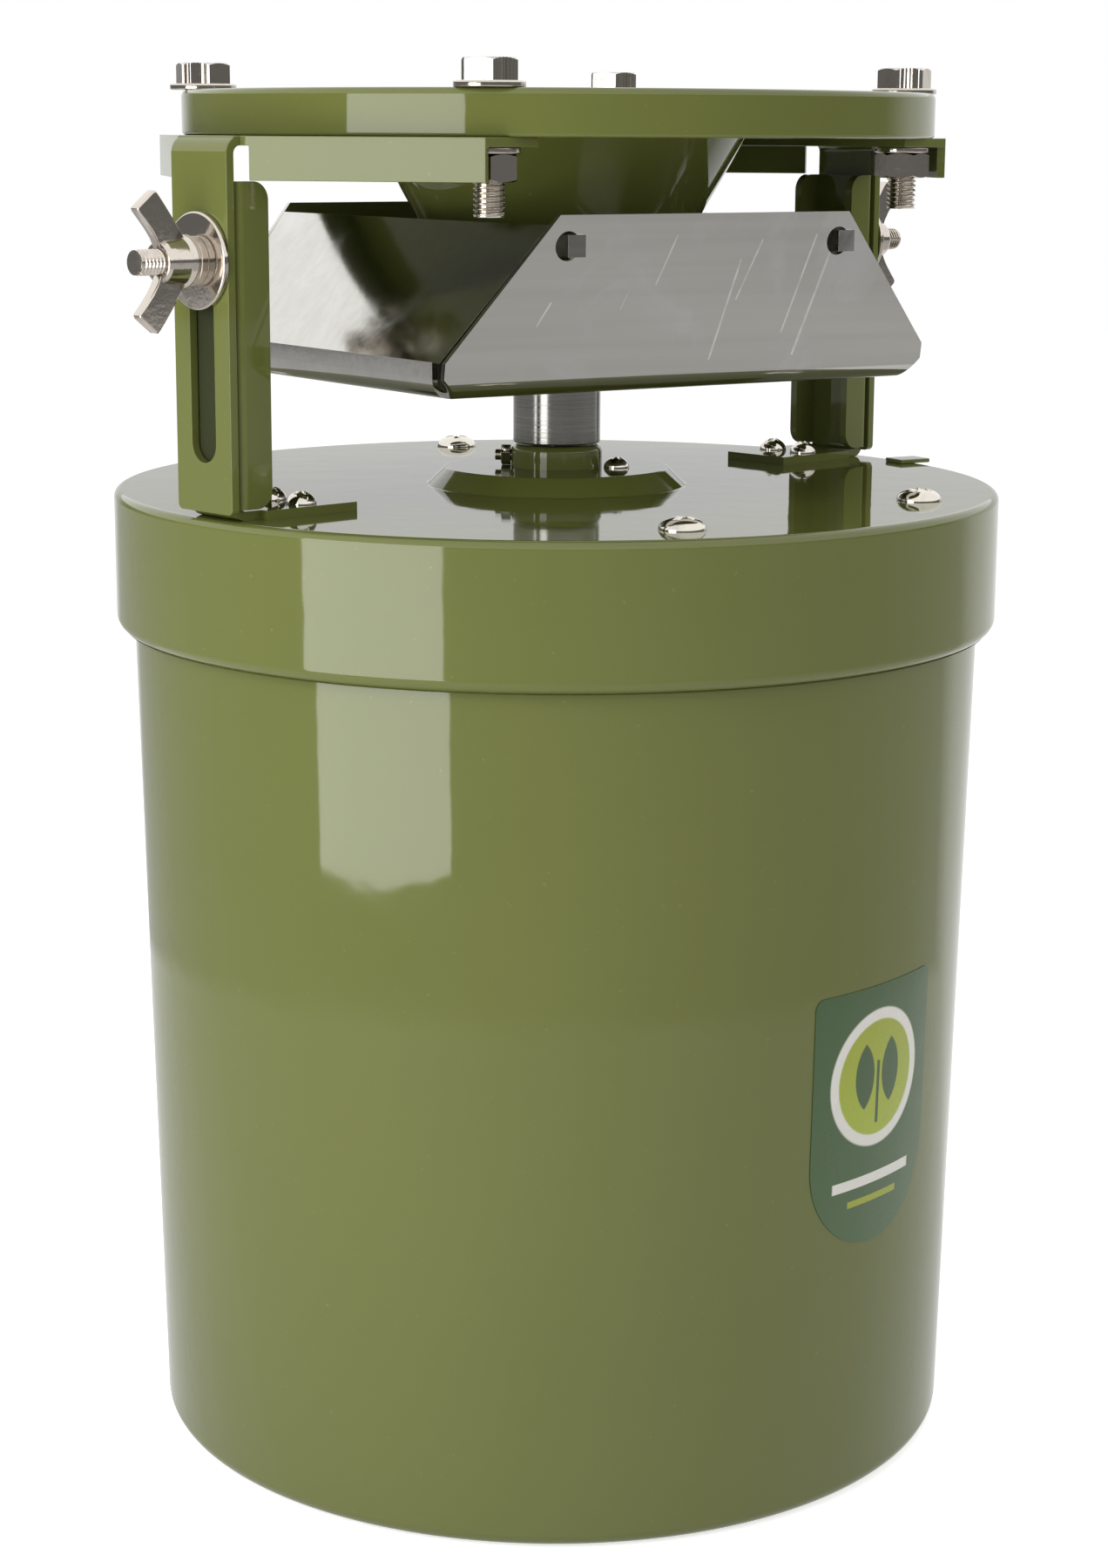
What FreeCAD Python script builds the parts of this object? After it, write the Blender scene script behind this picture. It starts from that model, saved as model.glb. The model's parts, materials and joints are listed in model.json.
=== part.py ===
"""Hanging feed spreader: bucket housing, lid with spinner pan, and a height-adjustable top plate with funnel.

Frame: origin at the middle of the bucket's underside, +Z up, the two brackets along X. Millimetres.
"""
import FreeCAD, Part
import Sketcher
import math
import os
import re

Vector = FreeCAD.Vector
Rotation = FreeCAD.Rotation

SIZES = {
    # bucket
    "can_tall": 256.0,
    "can_taper": 5.1,
    "can_top_rad": 115.8,
    "can_wall": 1.2,
    "can_round": 4.0,
    "bead_rad": 1.2,
    # lid
    "seat_gap": 0.3,
    "gasket_tall": 3.3,
    "gasket_wide": 5.0,
    "lid_wall": 1.4,
    "lid_clear": 4.2,
    "lid_skirt": 37.0,
    "lid_round": 3.5,
    "mound_low_rad": 35.5,
    "mound_top_rad": 30.5,
    "mound_rise": 4.8,
    "collar_rad": 12.4,
    "collar_rise": 6.1,
    "collar_bore": 7.0,
    # shaft and spinner
    "shaft_rad": 4.0,
    "run_gap": 0.05,
    "hub_rad": 11.9,
    "hub_lift": 0.4,
    "pan_floor": 30.3,
    "pan_sheet": 1.5,
    "pan_tall": 44.0,
    "pan_long": 150.0,
    "pan_wide": 124.0,
    "pan_lean": 6.0,
    "pan_inset": 30.0,
    "pan_step": 9.0,
    "pan_bend": 5.0,
    "pan_turn": -9.5,
    "tab_hole_rad": 3.6,
    "tab_tall": 5.4,
    "tab_long": 5.2,
    "tab_drop": 7.5,
    "end_share": 0.93,
    "flange_rad": 22.0,
    "flange_thick": 3.0,
    "drive_head": 3.1,
    "drive_rim": 0.9,
    "drive_turn": 133.0,
    "hub_step": 3.0,
    "shaft_reach": 6.0,
    # brackets
    "sheet": 2.3,
    "leg_step": 0.5,
    "foot_long": 39.5,
    "foot_screw_step": 25.5,
    "slip": 0.2,
    "leg_wide": 22.0,
    "leg_clear": 1.8,
    "slot_wide": 9.6,
    "slot_low": 14.0,
    "wing_level": 63.0,
    "channel_deep": 10.0,
    "channel_tall": 82.0,
    "foot_screw_half": 6.0,
    # top plate and arms
    "plate_lift": 92.7,
    "plate_thick": 11.5,
    "plate_step": 19.7,
    "plate_sheet": 2.0,
    "plate_hole_rad": 54.0,
    "arm_margin": 8.5,
    "arm_side": 8.1,
    "neck_long": 4.5,
    "arm_notch": 14.0,
    "lip_deep": 10.5,
    "bolt_step": 5.8,
    "bolt_angle": 36.5,
    # funnel
    "funnel_rad": 50.1,
    "funnel_low": 69.0,
    "funnel_slope": 0.5758,
    "funnel_sheet": 1.2,
    "funnel_flange": 63.0,
    # fasteners
    "bolt_rad": 3.97,
    "wing_bolt_rad": 3.17,
    "wing_base_rad": 6.4,
    "wing_tall": 9.0,
    "wing_span": 17.0,
    "wing_thick": 2.6,
    "spring_rad": 6.0,
    "spring_thick": 2.0,
    "bolt_flats": 12.7,
    "bolt_head": 5.3,
    "bolt_long": 31.8,
    "nut_tall": 6.6,
    "washer_rad": 8.7,
    "washer_thick": 1.6,
    "big_washer_rad": 11.9,
    "wing_bolt_out": 19.5,
    "hole_gap": 0.3,
    "lid_screw_step": 18.5,
    "lid_screw_angle": 26.0,
    "lid_screw_head": 5.9,
    "lid_screw_rise": 3.2,
    "lid_screw_rad": 2.5,
    "small_head": 3.9,
    "small_rise": 3.5,
    "small_rad": 2.0,
    # drive inside
    "spacer_tall": 9.0,
    "deck_sheet": 2.5,
    "deck_step_x": 64.0,
    "deck_step_y": 22.0,
    "deck_round": 6.0,
    "motor_rad": 18.5,
    "motor_tall": 52.0,
    "gearbox_rad": 22.0,
    "gearbox_tall": 18.0,
    # control box
    "box_x": 74.0,
    "box_y": 50.0,
    "box_z": 34.0,
    "box_step": 36.0,
    "face_thick": 2.5,
    "button_rad": 3.5,
    "button_out": 2.4,
    "button_pitch": 14.0,
    "button_row": 12.0,
    "button_lip": 1.2,
    "case_wall": 2.0,
    "window_row": 10.0,
    "window_long": 34.0,
    "window_wide": 14.0,
    "window_at": 12.0,
    "switch_at": 24.0,
    "switch_wide": 8.6,
    "switch_long": 13.6,
    "switch_rad": 3.4,
    "switch_body": 8.0,
    "lever_wide": 5.0,
    "lever_thick": 3.0,
    "lever_out": 5.8,
    "board_step": 3.0,
    "board_thick": 1.6,
    "pillar_rad": 2.5,
    "pillar_tall": 8.0,
    "pillar_in": 7.0,
    # battery
    "battery_x": 151.0,
    "battery_y": 65.0,
    "battery_z": 94.0,
    "terminal_wide": 6.3,
    "terminal_thick": 0.8,
    "terminal_tall": 6.0,
    "terminal_in_x": 10.0,
    "terminal_in_y": 12.0,
    "tray_sheet": 1.5,
    "tray_tall": 18.0,
    "strap_wide": 20.0,
    "strap_thick": 1.2,
    # label and lugs
    "label_wide": 49.0,
    "label_tall": 70.0,
    "label_thick": 0.3,
    "label_level": 71.0,
    "label_angle": -85.5,
    "lug_angle": -14.0,
    "lug_wide": 8.0,
    "lug_out": 3.2,
    "lug_in": 7.0,
    "lug_thick": 1.2,
}

DERIVED = {
    "can_low_rad": "can_top_rad - can_taper",
    "lid_rad": "can_top_rad + lid_clear",
    "lid_screw_ring": "lid_rad - lid_screw_step",
    "leg_out": "lid_rad - leg_step",
    "foot_in": "leg_out - foot_long",
    "foot_screw_rad": "leg_out - foot_screw_step",
    "arm_neck": "leg_out - neck_long",
    "wing_bolt_end": "leg_out + wing_bolt_out",
    "plate_rad": "leg_out - plate_step",
    "bolt_ring": "plate_rad - bolt_step",
    "arm_in": "bolt_ring * cos(bolt_angle) - arm_margin",
    "arm_shoulder": "bolt_ring * cos(bolt_angle) + arm_margin",
    "arm_half": "bolt_ring * sin(bolt_angle) + arm_side",
    "deck_half_x": "lid_rad - deck_step_x",
    "deck_half_y": "lid_rad - deck_step_y",
    "box_at": "deck_half_y - box_step",
}

LID_UNDER = "(can_tall + seat_gap + gasket_tall)"
LID_TOP = "(can_tall + seat_gap + gasket_tall + lid_wall)"
MOUND_TOP = "(" + LID_TOP + " + mound_rise)"
COLLAR_TOP = "(" + MOUND_TOP + " + collar_rise)"
PAN_FLOOR = "(" + LID_TOP + " + pan_floor)"
PLATE_UNDER = "(" + LID_TOP + " + plate_lift)"
PLATE_TOP = "(" + LID_TOP + " + plate_lift + plate_thick)"
WING_LEVEL = "(" + LID_TOP + " + wing_level)"
WEB_OUT = "(leg_out - sheet - slip)"
WEB_IN = "(leg_out - 2 * sheet - slip)"
DECK_TOP = "(" + LID_UNDER + " - spacer_tall)"
DECK_UNDER = "(" + LID_UNDER + " - spacer_tall - deck_sheet)"
FACE_UNDER = "(" + DECK_UNDER + " - box_z - face_thick)"
BATTERY_FLOOR = "(can_wall + tray_sheet)"
BATTERY_TOP = "(can_wall + tray_sheet + battery_z)"

doc = FreeCAD.newDocument("spreader")
sheet = doc.addObject("Spreadsheet::Sheet", "Sizes")
for row, (alias, amount) in enumerate(SIZES.items(), start=1):
    sheet.set("A%d" % row, alias)
    sheet.set("B%d" % row, str(amount))
    sheet.setAlias("B%d" % row, alias)
for row, (alias, formula) in enumerate(DERIVED.items(), start=len(SIZES) + 1):
    sheet.set("A%d" % row, alias)
    sheet.set("B%d" % row, "=" + formula)
    sheet.setAlias("B%d" % row, alias)
doc.recompute()

ALIAS = re.compile(r"\b(" + "|".join(list(SIZES) + list(DERIVED)) + r")\b")
PARTS = []


def size(alias):
    """A driving size, read from the sheet."""
    return float(sheet.get(alias))


def bind(item, **formulas):
    """Tie properties of an object to formulas of the sheet's sizes."""
    for name, formula in formulas.items():
        item.setExpression(name, ALIAS.sub(r"Sizes.\1", str(formula)))


def place(item, base=(0, 0, 0), axis=(0, 0, 1), turn=0):
    """Set an object's place: a base of three formulas, turned about an axis by a formula in degrees."""
    item.Placement.Rotation = Rotation(Vector(*axis), 1)
    for letter, formula in zip("xyz", base):
        item.setExpression(".Placement.Base." + letter, ALIAS.sub(r"Sizes.\1", str(formula)))
    item.setExpression(".Placement.Rotation.Angle", ALIAS.sub(r"Sizes.\1", str(turn)))
    return item


def new(kind, label):
    """A new document object with its label."""
    item = doc.addObject(kind, label)
    item.Label = label
    return item


def cylinder(label, radius, height, base=(0, 0, 0), axis=(0, 0, 1), turn=0):
    item = new("Part::Cylinder", label)
    bind(item, Radius=radius, Height=height)
    return place(item, base, axis, turn)


def box(label, length, width, height, base=(0, 0, 0), axis=(0, 0, 1), turn=0):
    item = new("Part::Box", label)
    bind(item, Length=length, Width=width, Height=height)
    return place(item, base, axis, turn)


def centred_box(label, length, width, height, base):
    """A box centred in X and Y on its base point."""
    corner = ("%s - (%s) / 2" % (base[0], length), "%s - (%s) / 2" % (base[1], width), base[2])
    return box(label, length, width, height, corner)


def cone(label, low, high, height, base=(0, 0, 0)):
    item = new("Part::Cone", label)
    bind(item, Radius1=low, Radius2=high, Height=height)
    return place(item, base)


def hexagon(label, flats, height, base=(0, 0, 0), axis=(0, 0, 1), turn=0):
    item = new("Part::Prism", label)
    item.Polygon = 6
    bind(item, Circumradius="(%s) / (2 * cos(30))" % flats, Height=height)
    return place(item, base, axis, turn)


def dome(label, radius, rise, base):
    """The cap of a ball: the head of a round-head screw."""
    ball = "((%s) ^ 2 + (%s) ^ 2) / (2 * (%s))" % (radius, rise, rise)
    item = new("Part::Sphere", label)
    bind(item, Radius=ball, Angle1="asin((%s - (%s)) / (%s))" % (ball, rise, ball))
    return place(item, (base[0], base[1], "%s - (%s - (%s))" % (base[2], ball, rise)))


def fuse(label, shapes):
    item = new("Part::MultiFuse", label)
    item.Shapes = shapes
    return item


def cut(label, base, tool):
    item = new("Part::Cut", label)
    item.Base = base
    item.Tool = tool
    return item


def tube(label, outer, inner, height, base=(0, 0, 0), axis=(0, 0, 1), turn=0):
    body = cylinder(label + "_outer", outer, height, base, axis, turn)
    bore = cylinder(label + "_bore", inner, height, base, axis, turn)
    return cut(label, body, bore)


def part(item, label):
    """Keep an object as a sub-part of the model under its own label."""
    if item.Label != label:
        item.Label = label
    PARTS.append(item)
    return item


def origin_plane(body, role):
    return [plane for plane in body.Origin.OriginFeatures if plane.Role == role][0]


def outline(body, label, role, points):
    """A closed outline on one of the body's own planes: each corner is a pair of formulas."""
    sketch = body.newObject("Sketcher::SketchObject", label)
    sketch.AttachmentSupport = [(origin_plane(body, role), "")]
    sketch.MapMode = "FlatFace"
    count = len(points)
    spots = [Vector(50 * math.cos(2 * math.pi * i / count), 50 * math.sin(2 * math.pi * i / count), 0)
             for i in range(count)]
    for i in range(count):
        sketch.addGeometry(Part.LineSegment(spots[i], spots[(i + 1) % count]), False)
    for i in range(count):
        sketch.addConstraint(Sketcher.Constraint("Coincident", i, 2, (i + 1) % count, 1))
    for i, (across, up) in enumerate(points):
        for kind, formula, spot, flat_axis in (("DistanceX", across, spots[i].x, -2),
                                               ("DistanceY", up, spots[i].y, -1)):
            if formula == 0:
                sketch.addConstraint(Sketcher.Constraint("PointOnObject", i, 1, flat_axis))
            else:
                row = sketch.addConstraint(Sketcher.Constraint(kind, -1, 1, i, 1, spot))
                sketch.setExpression("Constraints[%d]" % row, ALIAS.sub(r"Sizes.\1", str(formula)))
    return sketch


def revolved(label, points):
    """A body turned about Z from an outline of (radius, height) corners."""
    body = new("PartDesign::Body", label)
    sketch = outline(body, label + "_section", "XZ_Plane", points)
    turned = body.newObject("PartDesign::Revolution", label + "_turned")
    turned.Profile = sketch
    turned.ReferenceAxis = (sketch, ["V_Axis"])
    turned.Angle = 360
    body.Tip = turned
    return body


def padded(label, role, points, length):
    """A body padded both ways from an outline on one of its origin planes."""
    body = new("PartDesign::Body", label)
    sketch = outline(body, label + "_outline", role, points)
    pad = body.newObject("PartDesign::Pad", label + "_pad")
    pad.Profile = sketch
    pad.Midplane = True
    bind(pad, Length=length)
    body.Tip = pad
    return body


def pocket(body, label, role, points):
    """A cut right through the body, both ways from an outline on one of its origin planes."""
    sketch = outline(body, label + "_outline", role, points)
    taken = body.newObject("PartDesign::Pocket", label)
    taken.Profile = sketch
    taken.Midplane = True
    taken.Type = "ThroughAll"
    body.Tip = taken
    return body


def rounded(body, label, radius, chosen):
    """Round the edges of the body that the test picks."""
    doc.recompute()
    names = ["Edge%d" % (i + 1) for i, edge in enumerate(body.Tip.Shape.Edges) if chosen(edge)]
    smooth = body.newObject("PartDesign::Fillet", label)
    smooth.Base = (body.Tip, names) if body.Tip != smooth else (body.Group[-2], names)
    bind(smooth, Radius=radius)
    body.Tip = smooth
    return body


def ring_at(radius, level):
    """Picks the circle of a radius at a height."""
    def chosen(edge):
        curve = edge.Curve
        if not isinstance(curve, Part.Circle):
            return False
        return abs(curve.Radius - radius) < 0.01 and abs(curve.Center.z - level) < 0.01
    return chosen


def along_edge(across, level, axis):
    """Picks straight edges that run along X or Y at a place (across, level) of the section."""
    def chosen(edge):
        if not isinstance(edge.Curve, Part.Line):
            return False
        if abs(abs(edge.Curve.Direction.dot(Vector(*axis))) - 1) > 1e-6:
            return False
        middle = edge.BoundBox.Center
        side = middle.y if axis[0] else middle.x
        return abs(abs(side) - across) < 0.02 and abs(middle.z - level) < 0.02
    return chosen


def upright(across_x, across_y):
    """Picks upright edges at a place."""
    def chosen(edge):
        if not isinstance(edge.Curve, Part.Line):
            return False
        middle = edge.BoundBox.Center
        steep = abs(abs(edge.Curve.Direction.z) - 1) < 1e-6
        return steep and abs(middle.x - across_x) < 0.02 and abs(abs(middle.y) - across_y) < 0.02
    return chosen


def mirrored(label, source):
    """The same piece on the other side of the YZ plane."""
    item = new("Part::Mirroring", label)
    item.Source = source
    item.Normal = Vector(1, 0, 0)
    return item


def outward(heading):
    """The axis to turn an upright piece about, by 90 degrees, so that it points out at a heading."""
    return (-math.sin(math.radians(heading)), math.cos(math.radians(heading)), 0)


def ring_spots(ring, angles):
    """Formulas for places on a ring about the axis, one for each angle formula."""
    return [("(%s) * cos(%s)" % (ring, angle), "(%s) * sin(%s)" % (ring, angle)) for angle in angles]


LID_SCREW_SPOTS = ring_spots("lid_screw_ring", ["90 - lid_screw_angle", "90 + lid_screw_angle",
                                                "270 - lid_screw_angle", "270 + lid_screw_angle"])
PLATE_BOLT_SPOTS = ring_spots("bolt_ring", ["bolt_angle", "-bolt_angle", "180 - bolt_angle",
                                            "180 + bolt_angle"])
FOOT_SCREW_SPOTS = [("foot_screw_rad", "foot_screw_half"), ("foot_screw_rad", "-foot_screw_half")]
COLLAR_SCREW_HEADING = 132
COLLAR_SCREW_LEVEL = MOUND_TOP + " + collar_rise * 0.46"
COLLAR_SCREW_RAD = "(small_rad * 0.75)"
MOUND_SCREW_RING = "(collar_rad + small_head + 0.6)"
MOUND_SCREW_SPOTS = ring_spots(MOUND_SCREW_RING, ["-58.5", "61.5"])
DRIVE_SCREW_RING = "(hub_rad + drive_head + hole_gap)"
MOTOR_SCREW_SPOTS = ring_spots("gearbox_rad - 5", ["45", "135", "225", "315"])
BUTTON_SPOTS = [("button_pitch * %g" % step, "box_at - button_row") for step in (-1.5, -0.5, 0.5, 1.5)]
lid_top = size("can_tall") + size("seat_gap") + size("gasket_tall") + size("lid_wall")
lid_under = lid_top - size("lid_wall")


def bucket_shell():
    """Drawn steel bucket with a rolled rim."""
    rim_low = "can_tall - 2 * bead_rad"
    body = revolved("bucket_shell", [
        (0, 0),
        ("can_low_rad", 0),
        ("can_top_rad", rim_low),
        ("can_top_rad + bead_rad", rim_low),
        ("can_top_rad + bead_rad", "can_tall"),
        ("can_top_rad - can_wall", "can_tall"),
        ("can_low_rad - can_wall", "can_wall"),
        (0, "can_wall"),
    ])
    rounded(body, "bucket_bottom_inside", "can_round - can_wall",
            ring_at(size("can_low_rad") - size("can_wall"), size("can_wall")))
    rounded(body, "bucket_bottom_outside", "can_round", ring_at(size("can_low_rad"), 0))
    return part(body, "bucket_shell")


def front_label():
    """Curved label on the bucket's wall, made between two cones that follow the wall's lean."""
    lean = "((can_top_rad - can_low_rad) / (can_tall - 2 * bead_rad))"
    low = "can_low_rad + label_level * " + lean
    high = "can_low_rad + (label_level + label_tall) * " + lean
    outer = cone("label_outer", low + " + seat_gap + label_thick", high + " + seat_gap + label_thick",
                 "label_tall",
                 (0, 0, "label_level"))
    inner = cone("label_inner", low + " + seat_gap", high + " + seat_gap", "label_tall",
                 (0, 0, "label_level"))
    skin = cut("label_skin", outer, inner)
    window = box("label_window", "can_top_rad + 10", "label_wide", "label_tall",
                 ("label_wide / 2 * sin(label_angle)", "-label_wide / 2 * cos(label_angle)", "label_level"),
                 turn="label_angle")
    label = new("Part::Common", "front_label")
    label.Base = skin
    label.Tool = window
    return part(label, "front_label")


def lid_shell():
    """Pressed lid with a deep skirt and a raised mound, pierced for its screws."""
    body = revolved("lid_pressing", [
        ("collar_bore", MOUND_TOP),
        ("mound_top_rad", MOUND_TOP),
        ("mound_low_rad", LID_TOP),
        ("lid_rad", LID_TOP),
        ("lid_rad", LID_TOP + " - lid_skirt"),
        ("lid_rad - lid_wall", LID_TOP + " - lid_skirt"),
        ("lid_rad - lid_wall", LID_UNDER),
        ("mound_low_rad - lid_wall / 2", LID_UNDER),
        ("mound_top_rad - lid_wall / 2", MOUND_TOP + " - lid_wall"),
        ("collar_bore", MOUND_TOP + " - lid_wall"),
    ])
    rounded(body, "lid_edge_outside", "lid_round", ring_at(size("lid_rad"), lid_top))
    rounded(body, "lid_edge_inside", "lid_round - lid_wall",
            ring_at(size("lid_rad") - size("lid_wall"), lid_under))
    rounded(body, "mound_edge", "1.6", ring_at(size("mound_top_rad"), lid_top + size("mound_rise")))
    pins = [cylinder("lid_screw_hole", "lid_screw_rad", "lid_wall * 3", (x, y, LID_UNDER + " - lid_wall"))
            for x, y in LID_SCREW_SPOTS]
    pins += [cylinder("foot_screw_hole", "small_rad", "lid_wall * 3",
                      (flip + x, y, LID_UNDER + " - lid_wall"))
             for x, y in FOOT_SCREW_SPOTS for flip in ("", "-")]
    pins += [cylinder("mound_screw_hole", "small_rad", "lid_wall * 3", (x, y, MOUND_TOP + " - lid_wall * 2"))
             for x, y in MOUND_SCREW_SPOTS]
    return part(cut("lid_shell", body, fuse("lid_holes", pins)), "lid_shell")


def lid_gasket():
    """Flat ring on the lid's underside, over the bucket's rim."""
    ring = tube("lid_gasket", "can_top_rad + bead_rad", "can_top_rad + bead_rad - gasket_wide", "gasket_tall",
                (0, 0, "can_tall + seat_gap"))
    return part(ring, "lid_gasket")


def shaft_collar():
    """Painted collar that holds the shaft seal, with a rounded top edge and a hole for its clamp screw."""
    body = revolved("collar_turning", [
        ("collar_bore", MOUND_TOP),
        ("collar_rad", MOUND_TOP),
        ("collar_rad", COLLAR_TOP),
        ("collar_bore", COLLAR_TOP),
    ])
    top = lid_top + size("mound_rise") + size("collar_rise")
    rounded(body, "collar_edge", "1.8", ring_at(size("collar_rad"), top))
    hole = cylinder("collar_hole", COLLAR_SCREW_RAD, "collar_rad + 2", (0, 0, COLLAR_SCREW_LEVEL),
                    outward(COLLAR_SCREW_HEADING), 90)
    return part(cut("shaft_collar", body, hole), "shaft_collar")


def collar_screw():
    """Clamp screw of the collar with its lock nut, pointing outward."""
    def radial(reach):
        across = "(%s) * cos(%d)" % (reach, COLLAR_SCREW_HEADING)
        along = "(%s) * sin(%d)" % (reach, COLLAR_SCREW_HEADING)
        return (across, along, COLLAR_SCREW_LEVEL)
    axis = outward(COLLAR_SCREW_HEADING)
    shank = cylinder("collar_shank", COLLAR_SCREW_RAD, "collar_rad - collar_bore + 4.4",
                     radial("collar_bore"), axis, 90)
    nut = hexagon("collar_nut", "5.0", "2.6", radial("collar_rad + 0.1"), axis, 90)
    return part(fuse("collar_screw", [shank, nut]), "collar_screw")


def shaft_seal():
    """Lip seal in the collar, running on the shaft."""
    ring = tube("shaft_seal", "collar_bore", "shaft_rad + run_gap", "mound_rise + collar_rise - 1",
                (0, 0, LID_TOP))
    return part(ring, "shaft_seal")


def screws(label, spots, level, head_rad, head_rise, shank_rad, shank_long):
    """Round-head screws that stand on a level, with their shanks below."""
    pieces = []
    for x, y in spots:
        pieces.append(dome(label + "_head", head_rad, head_rise, (x, y, level)))
        pieces.append(cylinder(label + "_shank", shank_rad, shank_long,
                               (x, y, "%s - (%s)" % (level, shank_long))))
    return part(fuse(label, pieces), label)


def nuts(label, spots, level, flats, tall, hole):
    """Hexagon nuts whose top faces lie at a level."""
    under = "%s - (%s)" % (level, tall)
    bodies = fuse(label + "_bodies", [hexagon(label + "_body", flats, tall, (x, y, under)) for x, y in spots])
    holes = fuse(label + "_holes", [cylinder(label + "_hole", hole, tall, (x, y, under)) for x, y in spots])
    return part(cut(label, bodies, holes), label)


def washers(label, spots, level, outer, inner, thick):
    """Flat washers whose undersides lie at a level."""
    bodies = fuse(label + "_bodies", [cylinder(label + "_body", outer, thick, (x, y, level)) for x,
                                      y in spots])
    holes = fuse(label + "_holes", [cylinder(label + "_hole", inner, thick, (x, y, level)) for x, y in spots])
    return part(cut(label, bodies, holes), label)


def lower_bracket():
    """Upright U-channel with a foot that is screwed to the lid, pierced for the wing bolt."""
    foot = padded("channel_foot", "XZ_Plane", [
        ("foot_in", LID_TOP),
        (WEB_OUT, LID_TOP),
        (WEB_OUT, LID_TOP + " + channel_tall"),
        (WEB_IN, LID_TOP + " + channel_tall"),
        (WEB_IN, LID_TOP + " + sheet"),
        ("foot_in", LID_TOP + " + sheet"),
    ], "leg_wide - 2 * sheet")
    web_out = size("leg_out") - size("sheet") - size("slip")
    web_in = web_out - size("sheet")
    rounded(foot, "foot_bend_outside", "sheet + 1", along_edge(web_out, lid_top, (0, 1, 0)))
    rounded(foot, "foot_bend_inside", "1", along_edge(web_in, lid_top + size("sheet"), (0, 1, 0)))
    sides = padded("channel_sides", "XZ_Plane", [
        (WEB_OUT + " - channel_deep", LID_TOP + " + sheet + 0.6"),
        (WEB_OUT, LID_TOP + " + sheet + 0.6"),
        (WEB_OUT, LID_TOP + " + channel_tall"),
        (WEB_OUT + " - channel_deep", LID_TOP + " + channel_tall"),
    ], "leg_wide")
    rounded(sides, "channel_bends", "sheet + 0.4", upright(web_out, size("leg_wide") / 2))
    inner = web_out - size("channel_deep")
    for level in (lid_top + size("sheet") + 0.6, lid_top + size("channel_tall")):
        rounded(sides, "flange_corner", "4.5", along_edge(inner, level, (0, 1, 0)))
    hollow = centred_box("channel_hollow", "channel_deep - sheet + 2", "leg_wide - 2 * sheet",
                         "channel_tall + 2",
                         (WEB_IN + " - (channel_deep - sheet + 2) / 2", "0", LID_TOP))
    foot_pad = centred_box("foot_pad", WEB_IN + " - 6 - foot_in", "leg_wide", "sheet",
                           ("(foot_in + " + WEB_IN + " - 6) / 2", "0", LID_TOP))
    channel = fuse("channel", [foot, foot_pad, cut("channel_flanges", sides, hollow)])
    pins = [cylinder("bracket_screw_hole", "small_rad", "sheet * 3", (x, y, LID_TOP + " - sheet"))
            for x, y in FOOT_SCREW_SPOTS]
    pins.append(cylinder("bracket_bolt_hole", "wing_bolt_rad", "sheet * 3",
                         (WEB_IN + " - sheet", 0, WING_LEVEL),
                         (0, 1, 0), 90))
    right = part(cut("lower_bracket_right", channel, fuse("bracket_holes", pins)), "lower_bracket_right")
    part(mirrored("lower_bracket_left", right), "lower_bracket_left")


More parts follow.
